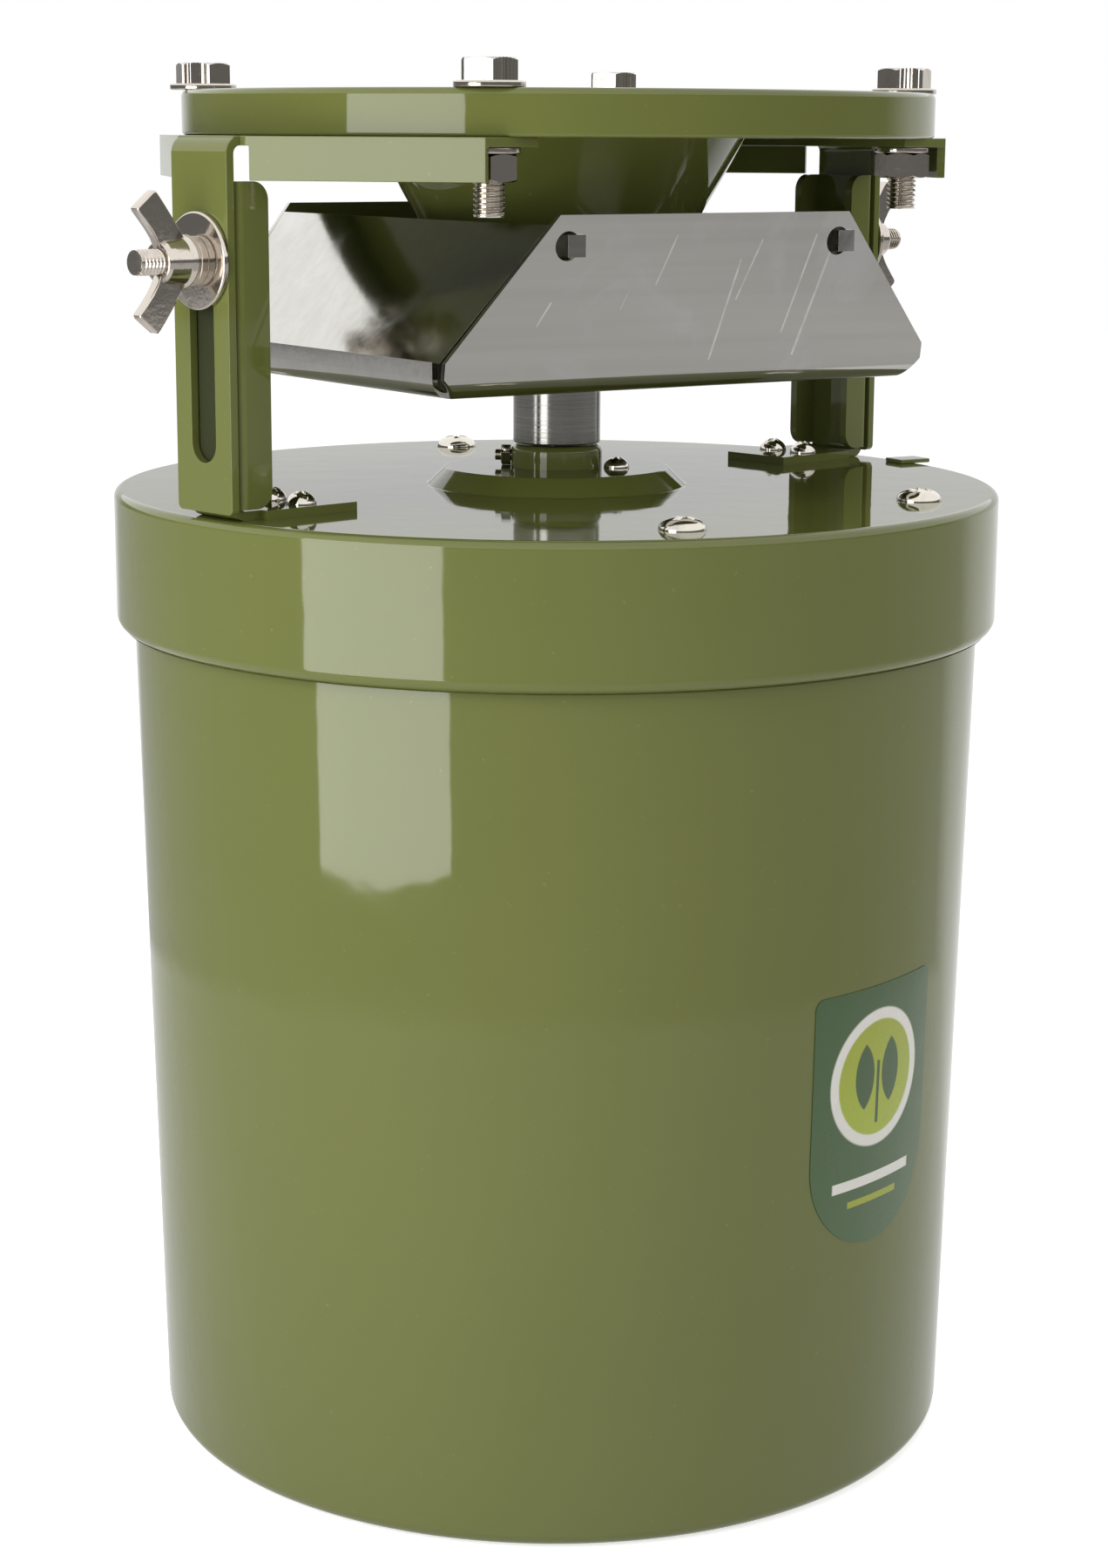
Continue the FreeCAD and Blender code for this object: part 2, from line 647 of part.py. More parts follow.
def upper_arm():
    """Gusset under the top plate, with turned-down lips and a slotted leg at its nose."""
    web = padded("arm_web", "XY_Plane", [
        ("arm_in", "-arm_half"),
        ("arm_shoulder", "-arm_half"),
        ("arm_neck", "-arm_notch"),
        ("arm_neck", "-leg_wide / 2"),
        ("leg_out - sheet", "-leg_wide / 2"),
        ("leg_out - sheet", "leg_wide / 2"),
        ("arm_neck", "leg_wide / 2"),
        ("arm_neck", "arm_notch"),
        ("arm_shoulder", "arm_half"),
        ("arm_in", "arm_half"),
    ], "sheet")
    place(web, (0, 0, PLATE_UNDER + " - sheet / 2"))
    slant = "atan2(arm_half - arm_notch; arm_neck - arm_shoulder)"
    reach = "sqrt((arm_neck - arm_shoulder) ^ 2 + (arm_half - arm_notch) ^ 2)"
    lips = [box("arm_lip", reach, "sheet", "lip_deep", ("arm_neck", "arm_notch", PLATE_UNDER + " - lip_deep"),
                turn="180 deg - " + slant),
            box("arm_lip", reach, "sheet", "lip_deep", ("arm_shoulder", "-arm_half",
                                                        PLATE_UNDER + " - lip_deep"),
                turn=slant)]
    leg = padded("arm_leg", "XZ_Plane", [
        ("arm_neck - 4", PLATE_UNDER),
        ("leg_out", PLATE_UNDER),
        ("leg_out", LID_TOP + " + leg_clear"),
        ("leg_out - sheet", LID_TOP + " + leg_clear"),
        ("leg_out - sheet", PLATE_UNDER + " - sheet"),
        ("arm_neck - 4", PLATE_UNDER + " - sheet"),
    ], "leg_wide")
    plate_under = lid_top + size("plate_lift")
    rounded(leg, "leg_bend_outside", "sheet + 2", along_edge(size("leg_out"), plate_under, (0, 1, 0)))
    rounded(leg, "leg_bend_inside", "2", along_edge(size("leg_out") - size("sheet"),
                                                    plate_under - size("sheet"),
                                                    (0, 1, 0)))
    rounded(leg, "leg_corners", "1.6", along_edge(size("leg_wide") / 2, lid_top + size("leg_clear"),
                                                  (1, 0, 0)))
    arm = fuse("arm", [web, leg] + lips)
    deep = "sheet * 3"
    start = "leg_out - sheet * 2"
    slot_high = "wing_level + slot_wide / 2 - slot_low - slot_wide"
    cutters = [centred_box("leg_slot", deep, "slot_wide", slot_high,
                           (start + " + sheet * 1.5", "0", LID_TOP + " + slot_low + slot_wide / 2"))]
    for level in ("slot_low + slot_wide / 2", "wing_level"):
        cutters.append(cylinder("slot_end", "slot_wide / 2", deep, (start, 0, LID_TOP + " + " + level),
                                (0, 1, 0), 90))
    for angle in ("bolt_angle", "-bolt_angle"):
        spot = ring_spots("bolt_ring", [angle])[0]
        cutters.append(cylinder("arm_bolt_hole", "bolt_rad + hole_gap", deep,
                                (*spot, PLATE_UNDER + " - sheet * 2")))
    right = part(cut("upper_arm_right", arm, fuse("arm_holes", cutters)), "upper_arm_right")
    part(mirrored("upper_arm_left", right), "upper_arm_left")


def top_plate():
    """Flat round pan with a turned-down rim, an opening for the funnel and holes for the hanging bolts."""
    body = revolved("plate_pressing", [
        ("plate_hole_rad", PLATE_TOP),
        ("plate_rad", PLATE_TOP),
        ("plate_rad", PLATE_UNDER),
        ("plate_rad - plate_sheet", PLATE_UNDER),
        ("plate_rad - plate_sheet", PLATE_TOP + " - plate_sheet"),
        ("plate_hole_rad", PLATE_TOP + " - plate_sheet"),
    ])
    top = lid_top + size("plate_lift") + size("plate_thick")
    rounded(body, "plate_edge_outside", "plate_sheet + 0.8", ring_at(size("plate_rad"), top))
    rounded(body, "plate_edge_inside", "0.8", ring_at(size("plate_rad") - size("plate_sheet"),
                                                      top - size("plate_sheet")))
    pins = [cylinder("plate_bolt_hole", "bolt_rad + hole_gap", "plate_sheet * 3",
                     (x, y, PLATE_TOP + " - plate_sheet * 2"))
            for x, y in PLATE_BOLT_SPOTS]
    return part(cut("top_plate", body, fuse("plate_holes", pins)), "top_plate")


def funnel():
    """Sheet funnel that hangs from the plate by its flange and reaches into the spinner pan."""
    top = PLATE_TOP + " - plate_sheet"
    low = LID_TOP + " + funnel_low"
    shank = "(funnel_rad + funnel_slope * (plate_thick - plate_sheet))"
    mouth = "(funnel_rad - funnel_slope * (plate_lift - funnel_low))"
    wall = "(funnel_sheet * sqrt(1 + funnel_slope ^ 2))"
    body = revolved("funnel", [
        ("funnel_flange", top),
        ("funnel_flange", top + " - funnel_sheet"),
        (shank + " - funnel_slope * funnel_sheet", top + " - funnel_sheet"),
        (mouth, low),
        (mouth + " - " + wall, low),
        (shank + " - " + wall, top),
    ])
    return part(body, "funnel")


def plate_fasteners():
    """Four hanging bolts through the plate and the arms, with their washers and nuts."""
    level = PLATE_TOP + " + washer_thick"
    pieces = []
    for x, y in PLATE_BOLT_SPOTS:
        pieces.append(hexagon("plate_bolt_head", "bolt_flats", "bolt_head", (x, y, level), turn=12))
        pieces.append(cylinder("plate_bolt_shank", "bolt_rad", "bolt_long", (x, y, level + " - bolt_long")))
    part(fuse("plate_bolts", pieces), "plate_bolts")
    washers("plate_washers_upper", PLATE_BOLT_SPOTS, PLATE_TOP, "washer_rad", "bolt_rad", "washer_thick")
    under = PLATE_UNDER + " - sheet"
    washers("plate_washers_lower", PLATE_BOLT_SPOTS, under + " - washer_thick", "washer_rad - 1.2",
            "bolt_rad",
            "washer_thick")
    nuts("plate_nuts", PLATE_BOLT_SPOTS, under + " - washer_thick", "bolt_flats", "nut_tall", "bolt_rad")


def wing_sets():
    """Wing bolt of one side with its washers and wing nut, and the same on the other side."""
    sideways = ((0, 1, 0), 90)
    head = hexagon("wing_bolt_head", "bolt_flats - 1.6", "bolt_head - 0.8",
                   (WEB_IN + " - (bolt_head - 0.8)", 0, WING_LEVEL),
                   *sideways)
    shank = cylinder("wing_bolt_shank", "wing_bolt_rad", "wing_bolt_end - " + WEB_IN,
                     (WEB_IN, 0, WING_LEVEL), *sideways)
    bolt = part(fuse("wing_bolt_right", [head, shank]), "wing_bolt_right")
    part(mirrored("wing_bolt_left", bolt), "wing_bolt_left")
    first = "leg_out + run_gap * 2"
    flat = part(tube("wing_washer_right", "big_washer_rad", "wing_bolt_rad", "washer_thick",
                     (first, 0, WING_LEVEL),
                     *sideways), "wing_washer_right")
    part(mirrored("wing_washer_left", flat), "wing_washer_left")
    second = first + " + washer_thick"
    ring = tube("spring_ring", "spring_rad", "wing_bolt_rad", "spring_thick", (second, 0, WING_LEVEL),
                *sideways)
    gap = box("spring_gap", "spring_thick * 2", "spring_rad + 1", "0.9",
              (second + " - spring_thick / 2", 0, WING_LEVEL),
              (1, 0, 0), -25)
    spring = part(cut("spring_washer_right", ring, gap), "spring_washer_right")
    part(mirrored("spring_washer_left", spring), "spring_washer_left")
    third = second + " + spring_thick + run_gap * 2"
    core = new("Part::Cone", "wing_core")
    bind(core, Radius1="wing_base_rad", Radius2="wing_base_rad - 1.2", Height="wing_tall")
    place(core, (third, 0, WING_LEVEL), *sideways)
    wings = []
    for flip in ("", "-"):
        wings.append(padded("wing", "XZ_Plane", [
            (third + " + 1", WING_LEVEL + " + " + flip + "3.6"),
            (third + " + wing_tall - 1", WING_LEVEL + " + " + flip + "3.6"),
            (third + " + wing_tall + 1.5", WING_LEVEL + " + " + flip + "(wing_span * 0.42)"),
            (third + " + wing_tall + 6.2", WING_LEVEL + " + " + flip + "(wing_span * 0.72)"),
            (third + " + wing_tall + 6.4", WING_LEVEL + " + " + flip + "(wing_span * 0.92)"),
            (third + " + wing_tall + 4.2", WING_LEVEL + " + " + flip + "wing_span"),
            (third + " + wing_tall - 0.8", WING_LEVEL + " + " + flip + "(wing_span * 0.96)"),
            (third + " + 2.2", WING_LEVEL + " + " + flip + "(wing_span * 0.6)"),
        ], "wing_thick"))
    bore = cylinder("wing_bore", "wing_bolt_rad + run_gap", "wing_tall * 3",
                    (third + " - wing_tall", 0, WING_LEVEL), *sideways)
    nut = part(cut("wing_nut_right", fuse("wing_body", [core] + wings), bore), "wing_nut_right")
    part(mirrored("wing_nut_left", nut), "wing_nut_left")


def spinner_pan():
    """Folded stainless pan: walls that lean out, end panels that lean in, and tabs folded over the walls."""
    long_half = size("pan_long") / 2
    wide_half = size("pan_wide") / 2
    skin = size("pan_sheet")
    walls = padded("pan_walls", "YZ_Plane", [
        ("-pan_wide / 2", 0),
        ("pan_wide / 2", 0),
        ("pan_wide / 2 + pan_lean", "pan_tall"),
        ("pan_wide / 2 + pan_lean - pan_sheet", "pan_tall"),
        ("pan_wide / 2 - pan_sheet", "pan_sheet"),
        ("-pan_wide / 2 + pan_sheet", "pan_sheet"),
        ("-pan_wide / 2 - pan_lean + pan_sheet", "pan_tall"),
        ("-pan_wide / 2 - pan_lean", "pan_tall"),
    ], "pan_long")
    rounded(walls, "wall_bend_outside", "pan_bend", along_edge(wide_half, 0, (1, 0, 0)))
    rounded(walls, "wall_bend_inside", "pan_bend - pan_sheet", along_edge(wide_half - skin, skin, (1, 0, 0)))
    for flip in ("", "-"):
        pocket(walls, "wall_slant", "XZ_Plane", [
            (flip + "pan_long / 2", "pan_step"),
            (flip + "(pan_long / 2 - pan_inset)", "pan_tall"),
            (flip + "(pan_long / 2 - pan_inset)", "pan_tall + 5"),
            (flip + "(pan_long / 2 + 5)", "pan_tall + 5"),
            (flip + "(pan_long / 2 + 5)", "pan_step"),
        ])
        pocket(walls, "wall_chamfer", "XZ_Plane", [
            (flip + "(pan_long / 2 - pan_bend)", 0),
            (flip + "pan_long / 2", "pan_bend"),
            (flip + "(pan_long / 2 + 5)", "pan_bend"),
            (flip + "(pan_long / 2 + 5)", "-5"),
            (flip + "(pan_long / 2 - pan_bend)", "-5"),
        ])
    ends = padded("pan_ends", "XZ_Plane", [
        ("-pan_long / 2", 0),
        ("pan_long / 2", 0),
        ("pan_long / 2", "pan_step"),
        ("pan_long / 2 - pan_sheet", "pan_step"),
        ("pan_long / 2 - pan_sheet", "pan_sheet"),
        ("-pan_long / 2 + pan_sheet", "pan_sheet"),
        ("-pan_long / 2 + pan_sheet", "pan_step"),
        ("-pan_long / 2", "pan_step"),
    ], "pan_wide - 2 * pan_bend")
    rounded(ends, "end_bend_outside", "pan_bend", along_edge(long_half, 0, (0, 1, 0)))
    rounded(ends, "end_bend_inside", "pan_bend - pan_sheet", along_edge(long_half - skin, skin, (0, 1, 0)))
    pieces = [walls, ends]
    share = size("end_share")
    slope = math.atan2(size("pan_inset"), size("pan_tall") - size("pan_step"))
    for side in (1, -1):
        panel = new("Part::Wedge", "end_panel")
        bind(panel, Xmin="-pan_wide / 2 + pan_sheet", Xmax="pan_wide / 2 - pan_sheet", Ymin=0,
             X2min="-pan_wide / 2 - pan_lean * %g + pan_sheet" % share,
             X2max="pan_wide / 2 + pan_lean * %g - pan_sheet" % share,
             Ymax="%g * sqrt(pan_inset ^ 2 + (pan_tall - pan_step) ^ 2)" % share,
             Zmin="-pan_sheet", Zmax=0, Z2min="-pan_sheet", Z2max=0)
        across = Vector(0, side, 0)
        up = Vector(-side * math.sin(slope), 0, math.cos(slope))
        panel.Placement.Rotation = Rotation(across, up, Vector(), "XYZ")
        panel.setExpression(".Placement.Base.x", "%d * Sizes.pan_long / 2" % side)
        panel.setExpression(".Placement.Base.z", "Sizes.pan_step")
        pieces.append(panel)
    holes = []
    for side in ("", "-"):
        spot = side + "(pan_long / 2 - pan_inset - tab_hole_rad + 0.8)"
        holes.append(cylinder("tab_hole", "tab_hole_rad", "pan_wide * 2",
                              (spot, "pan_wide", "pan_tall - tab_drop"), (1, 0, 0), 90))
        for wall in ("", "-"):
            face = "(pan_wide / 2 + pan_lean * 0.83)"
            low = "pan_tall - tab_drop - tab_tall / 2"
            pieces.append(centred_box("tab_neck", "pan_sheet", "tab_long", "tab_tall",
                                      (spot, wall + "(" + face + " - tab_long / 4)", low)))
            pieces.append(centred_box("tab_fold", "tab_long", "pan_sheet", "tab_tall",
                                      (spot + " + (tab_long - pan_sheet) / 2",
                                       wall + "(" + face + " + pan_sheet / 3)", low)))
    holes.append(cylinder("pan_hub_hole", "hub_rad - hub_step", "pan_sheet * 3", (0, 0, "-pan_sheet")))
    spot = ring_spots(DRIVE_SCREW_RING, ["drive_turn - pan_turn"])[0]
    holes.append(cylinder("pan_screw_hole", "small_rad", "pan_sheet * 3", (*spot, "-pan_sheet")))
    pierced = cut("pan_walls_pierced", walls, fuse("pan_holes", holes[:2]))
    ends_pierced = cut("pan_floor_pierced", fuse("pan_shell", [pierced] + pieces[1:]),
                       fuse("floor_holes", holes[2:]))
    ends_pierced.Label = "spinner_pan"
    place(ends_pierced, (0, 0, PAN_FLOOR), turn="pan_turn")
    return part(ends_pierced, "spinner_pan")


def spinner_drive():
    """Turned hub on the shaft, the flange inside the pan, the screw that keys them, and the shaft."""
    low = COLLAR_TOP + " + hub_lift"
    top = PAN_FLOOR + " + pan_sheet + flange_thick"
    stem = cylinder("hub_stem", "hub_rad", PAN_FLOOR + " - (" + low + ")", (0, 0, low))
    neck = cylinder("hub_neck", "hub_rad - hub_step", "pan_sheet + flange_thick", (0, 0, PAN_FLOOR))
    bore = cylinder("hub_bore", "shaft_rad", top + " - (" + low + ")", (0, 0, low))
    part(cut("spinner_hub", fuse("hub_body", [stem, neck]), bore), "spinner_hub")
    plate = tube("flange_plate", "flange_rad", "hub_rad - hub_step", "flange_thick",
                 (0, 0, PAN_FLOOR + " + pan_sheet"))
    spot = ring_spots(DRIVE_SCREW_RING, ["drive_turn"])[0]
    hole = cylinder("flange_hole", "small_rad", "flange_thick * 3", (*spot, PAN_FLOOR))
    part(cut("pan_flange", plate, hole), "pan_flange")
    head = new("Part::Sphere", "drive_screw_head")
    bind(head, Radius="drive_head")
    head.Angle1 = -90
    head.Angle2 = 0
    place(head, (*spot, PAN_FLOOR + " - drive_rim"))
    rim = cylinder("drive_screw_rim", "drive_head", "drive_rim", (*spot, PAN_FLOOR + " - drive_rim"))
    shank = cylinder("drive_screw_shank", "small_rad", "drive_rim + pan_sheet + flange_thick",
                     (*spot, PAN_FLOOR + " - drive_rim"))
    part(fuse("drive_screw", [head, rim, shank]), "drive_screw")
    foot = DECK_UNDER + " - shaft_reach"
    part(cylinder("motor_shaft", "shaft_rad", top + " - (" + foot + ")", (0, 0, foot)), "motor_shaft")


def drive_deck():
    """Plate under the lid that carries the motor and the control box, on spacers over the lid's screws."""
    deck = centred_box("deck_plate", "deck_half_x * 2", "deck_half_y * 2", "deck_sheet",
                       ("0", "0", DECK_UNDER))
    corners = cylinder("deck_corners", "lid_rad - lid_wall - gasket_wide - deck_round", "deck_sheet",
                       (0, 0, DECK_UNDER))
    shape = new("Part::Common", "deck_outline")
    shape.Base = deck
    shape.Tool = corners
    pins = [cylinder("deck_screw_hole", "lid_screw_rad", "deck_sheet * 3",
                     (x, y, DECK_UNDER + " - deck_sheet"))
            for x, y in LID_SCREW_SPOTS]
    pins.append(cylinder("deck_shaft_hole", "shaft_rad + 1", "deck_sheet * 3",
                         (0, 0, DECK_UNDER + " - deck_sheet")))
    pins += [cylinder("deck_motor_hole", "small_rad", "deck_sheet * 3", (x, y, DECK_UNDER + " - deck_sheet"))
             for x, y in MOTOR_SCREW_SPOTS]
    part(cut("drive_deck", shape, fuse("deck_holes", pins)), "drive_deck")
    bodies = fuse("spacer_bodies", [cylinder("spacer_body", "lid_screw_rad + 2.5", "spacer_tall",
                                             (x, y, DECK_TOP))
                                    for x, y in LID_SCREW_SPOTS])
    bores = fuse("spacer_bores", [cylinder("spacer_bore", "lid_screw_rad", "spacer_tall", (x, y, DECK_TOP))
                                  for x, y in LID_SCREW_SPOTS])
    part(cut("deck_spacers", bodies, bores), "deck_spacers")
    nuts("lid_screw_nuts", LID_SCREW_SPOTS, DECK_UNDER, "lid_screw_rad * 3.2", "4", "lid_screw_rad")


def gear_motor():
    """Gearbox bolted under the deck, with the motor can below it."""
    box_low = DECK_UNDER + " - gearbox_tall"
    gearbox = cylinder("gearbox_body", "gearbox_rad", "gearbox_tall", (0, 0, box_low))
    pins = [cylinder("gearbox_hole", "small_rad", "8", (x, y, DECK_UNDER + " - 8")) for x,
            y in MOTOR_SCREW_SPOTS]
    pins.append(cylinder("gearbox_bore", "shaft_rad + run_gap", "shaft_reach + 1",
                         (0, 0, DECK_UNDER + " - shaft_reach - 1")))
    part(cut("gearbox", gearbox, fuse("gearbox_holes", pins)), "gearbox")
    can = cylinder("motor_can_body", "motor_rad", "motor_tall", (0, 0, box_low + " - motor_tall"))
    part(can, "motor_can")
    screws("motor_screws", MOTOR_SCREW_SPOTS, DECK_TOP, "small_head", "small_rise", "small_rad",
           "deck_sheet + 6")


def control_box():
    """Timer housing under the deck: a shell open downward, its face plate, display, buttons and switch."""
    floor = DECK_UNDER + " - box_z"
    middle = ("0", "box_at", floor)
    outer = centred_box("timer_outer", "box_x", "box_y", "box_z", middle)
    inner = centred_box("timer_inner", "box_x - 2 * case_wall", "box_y - 2 * case_wall",
                        "box_z - case_wall", middle)
    part(cut("timer_case", outer, inner), "timer_case")
    face = centred_box("timer_face_plate", "box_x", "box_y", "face_thick", ("0", "box_at", FACE_UNDER))
    pins = [cylinder("button_hole", "button_rad + hole_gap", "face_thick * 3",
                     (x, y, FACE_UNDER + " - face_thick"))
            for x, y in BUTTON_SPOTS]
    row = "box_at + window_row"
    deep = FACE_UNDER + " - face_thick"
    pins.append(centred_box("display_hole", "window_long", "window_wide", "face_thick * 3",
                            ("-window_at", row, deep)))
    pins.append(centred_box("switch_hole", "switch_wide", "switch_long", "face_thick * 3",
                            ("switch_at", row, deep)))
    part(cut("timer_face", face, fuse("face_holes", pins)), "timer_face")
    part(centred_box("timer_display", "window_long", "window_wide", "face_thick",
                     ("-window_at", row, FACE_UNDER)),
         "timer_display")
    for number, (x, y) in enumerate(BUTTON_SPOTS, start=1):
        stem = cylinder("button_stem", "button_rad", "face_thick + button_out",
                        (x, y, FACE_UNDER + " - button_out"))
        lip = cylinder("button_lip", "button_rad + button_lip", "button_lip",
                       (x, y, FACE_UNDER + " + face_thick"))
        part(fuse("timer_button_%d" % number, [stem, lip]), "timer_button_%d" % number)
    pivot = FACE_UNDER + " + switch_rad + 0.2"
    hub = cylinder("switch_hub", "switch_rad", "switch_body", ("switch_at - switch_body / 2", row, pivot),
                   (0, 1, 0), 90)
    lever = centred_box("switch_lever", "lever_wide", "lever_thick", "lever_out + switch_rad + 0.2",
                        ("switch_at", row, FACE_UNDER + " - lever_out"))
    part(fuse("power_switch", [hub, lever]), "power_switch")
    card = centred_box("timer_board", "box_x - 2 * board_step", "box_y - 2 * board_step", "board_thick",
                       ("0", "box_at", FACE_UNDER + " + face_thick + pillar_tall"))
    part(card, "timer_board")
    pillars = [cylinder("board_pillar", "pillar_rad", "pillar_tall",
                        (x, "box_at + " + y, FACE_UNDER + " + face_thick"))
               for x in ("box_x / 2 - pillar_in", "pillar_in - box_x / 2")
               for y in ("(box_y / 2 - pillar_in)", "(pillar_in - box_y / 2)")]
    part(fuse("board_pillars", pillars), "board_pillars")


def battery():
    """Sealed battery standing in a tray on the bucket's floor, held by a strap."""
    block = centred_box("battery_block", "battery_x", "battery_y", "battery_z", ("0", "0", BATTERY_FLOOR))
    part(block, "battery")
    tabs = [centred_box("terminal_tab", "terminal_wide", "terminal_thick", "terminal_tall",
                        ("battery_x / 2 - terminal_in_x", flip + "(battery_y / 2 - terminal_in_y)",
                         BATTERY_TOP))
            for flip in ("", "-")]
    part(fuse("battery_terminals", tabs), "battery_terminals")
    tray = centred_box("tray_block", "battery_x + 2 * tray_sheet + 2 * seat_gap",
                       "battery_y + 2 * tray_sheet + 2 * seat_gap", "tray_tall", ("0", "0", "can_wall"))
    room = centred_box("tray_room", "battery_x + 2 * seat_gap", "battery_y + 2 * seat_gap", "tray_tall",
                       ("0", "0", BATTERY_FLOOR))
    part(cut("battery_tray", tray, room), "battery_tray")
    rim = "(can_wall + tray_tall)"
    band = centred_box("strap_block", "strap_wide", "battery_y + 2 * strap_thick",
                       BATTERY_TOP + " + strap_thick - " + rim, ("0", "0", rim))
    space = centred_box("strap_room", "strap_wide", "battery_y", BATTERY_TOP + " - " + rim, ("0", "0", rim))
    part(cut("battery_strap", band, space), "battery_strap")


def lid_lug():
    """Small square lug that stands out over the lid's rim."""
    start = "(lid_rad - lug_in)"
    plate = box("lug_plate", "lug_in + lug_out", "lug_wide", "lug_thick",
                (start + " * cos(lug_angle) + lug_wide / 2 * sin(lug_angle)",
                 start + " * sin(lug_angle) - lug_wide / 2 * cos(lug_angle)", LID_TOP), turn="lug_angle")
    part(plate, "lid_lug")


bucket_shell()
front_label()
lid_shell()
lid_gasket()
shaft_collar()
collar_screw()
shaft_seal()
screws("lid_screws", LID_SCREW_SPOTS, LID_TOP, "lid_screw_head", "lid_screw_rise", "lid_screw_rad",
       "lid_wall + spacer_tall + deck_sheet + 7")
screws("mound_screws", MOUND_SCREW_SPOTS, MOUND_TOP, "small_head * 0.9", "small_rise * 0.86", "small_rad",
       "4")
screws("foot_screws_right", FOOT_SCREW_SPOTS, LID_TOP + " + sheet", "small_head", "small_rise", "small_rad",
       "sheet + lid_wall + 3")
screws("foot_screws_left", [("-" + x, y) for x, y in FOOT_SCREW_SPOTS], LID_TOP + " + sheet", "small_head",
       "small_rise", "small_rad", "sheet + lid_wall + 3")
lower_bracket()
upper_arm()
spinner_pan()
spinner_drive()
drive_deck()
gear_motor()
control_box()
battery()
lid_lug()
top_plate()
funnel()
plate_fasteners()
wing_sets()
doc.recompute()

for item in doc.Objects:
    if "Invalid" in item.State or "Error" in item.State:
        raise RuntimeError("%s did not build: %s" % (item.Label, item.State))
for item in PARTS:
    if item.Shape.isNull() or not item.Shape.isValid():
        raise RuntimeError("%s has no valid shape" % item.Label)

os.makedirs("parts", exist_ok=True)
for item in PARTS:
    item.Shape.exportStep("parts/%s.step" % item.Label)
print("wrote %d parts" % len(PARTS))
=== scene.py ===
"""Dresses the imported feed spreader: olive enamel, a folded stainless pan, bright fasteners and a plain studio."""
import json
import math

import bmesh
import bpy
from bpy.props import FloatProperty, FloatVectorProperty, PointerProperty
from mathutils import Matrix, Vector


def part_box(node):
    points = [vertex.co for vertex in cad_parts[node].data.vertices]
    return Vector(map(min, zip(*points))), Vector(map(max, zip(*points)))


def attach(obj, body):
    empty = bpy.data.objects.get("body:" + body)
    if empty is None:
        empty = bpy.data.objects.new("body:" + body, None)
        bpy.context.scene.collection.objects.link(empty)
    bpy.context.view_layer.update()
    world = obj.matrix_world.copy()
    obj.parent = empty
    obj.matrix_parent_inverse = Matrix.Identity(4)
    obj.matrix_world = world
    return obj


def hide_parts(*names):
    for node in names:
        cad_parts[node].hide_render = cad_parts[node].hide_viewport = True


bl_info = {
    "name": "Feed spreader dressing",
    "version": (1, 0, 0),
    "blender": (4, 5, 0),
    "location": "3D View > Sidebar > Spreader",
    "description": "Builds the visible pieces, finishes and studio of a hanging feed spreader",
    "category": "Object",
}

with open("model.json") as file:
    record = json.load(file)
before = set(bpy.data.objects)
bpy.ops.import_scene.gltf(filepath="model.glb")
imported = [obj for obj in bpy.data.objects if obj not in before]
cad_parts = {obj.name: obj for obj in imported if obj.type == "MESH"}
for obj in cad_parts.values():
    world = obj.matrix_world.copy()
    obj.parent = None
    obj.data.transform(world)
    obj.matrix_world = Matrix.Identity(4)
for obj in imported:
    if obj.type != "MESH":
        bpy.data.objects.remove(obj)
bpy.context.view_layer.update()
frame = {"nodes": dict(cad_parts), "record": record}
MM = 0.001
BODY_OF = {node: body for body, nodes in frame["record"]["behaviour"]["bodies"].items() for node in nodes}
SLOT_OF = {row["node"]: row["material_slot"] for row in frame["record"]["subparts"]}


def edge_of(node, end, axis="z"):
    """One side of a CAD node's box at rest, in millimetres: end 0 is the low side and 1 the high one."""
    return getattr(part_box(node)[end], axis) / MM


LID_TOP, LID_RADIUS = edge_of("lower_bracket_right", 0), edge_of("lid_shell", 1, "x")
SKIRT_LOW, MOUND_TOP = edge_of("lid_shell", 0), edge_of("lid_shell", 1)
PLATE_LOW, PLATE_TOP, PLATE_RADIUS = edge_of("top_plate", 0), edge_of("top_plate", 1), edge_of("top_plate", 1, "x")
PAN_FLOOR = edge_of("spinner_pan", 0)

# The other measures of the turned and threaded pieces, in millimetres
BUCKET_FOOT, BUCKET_TOP, BUCKET_WALL = 110.7, 115.8, 1.2
RIM_RADIUS, RIM_DEEP, RIM_LEVEL = 117.0, 2.4, edge_of("bucket_shell", 1)
LID_WALL, LIP_RADIUS, SKIRT_INSIDE = 1.4, 117.5, 118.6
MOUND_CROWN, MOUND_FOOT = 30.5, 35.5
COLLAR_RADIUS, COLLAR_BORE = 12.4, 7.0
PLATE_HOLE, PLATE_SHEET = 54.0, 2.0
FUNNEL_RADIUS, FUNNEL_SLOPE, FUNNEL_SHEET = 50.1, 0.5758, 1.2
HUB_RADIUS, HUB_STEP, SHAFT_RADIUS = 11.9, 3.0, 4.0
BOLT_FLATS, BOLT_RADIUS, BOLT_CORE, BOLT_HOLE = 12.7, 3.97, 3.4, 4.0
UPPER_WASHER, LOWER_WASHER = 8.7, 7.5
WING_BOLT_FLATS, WING_BOLT_RADIUS, WING_BOLT_CORE = 11.1, 3.17, 2.95
WING_BOLT_PITCH, WING_BOLT_THREAD = 1.05, 0.5
WIDE_WASHER, WIDE_WASHER_TALL = 11.9, 1.6
WING_OUTLINE = [(1.2, 3.6), (1.6, 5.2), (3.4, 8.0), (5.6, 11.2), (7.8, 14.2), (9.4, 16.2), (10.1, 16.9),
                (10.7, 16.8), (12.9, 15.1), (15.1, 13.3), (15.4, 12.7), (15.2, 12.1), (13.4, 9.9), (11.4, 7.4),
                (10.0, 5.4), (9.4, 4.2), (9.0, 3.2)]

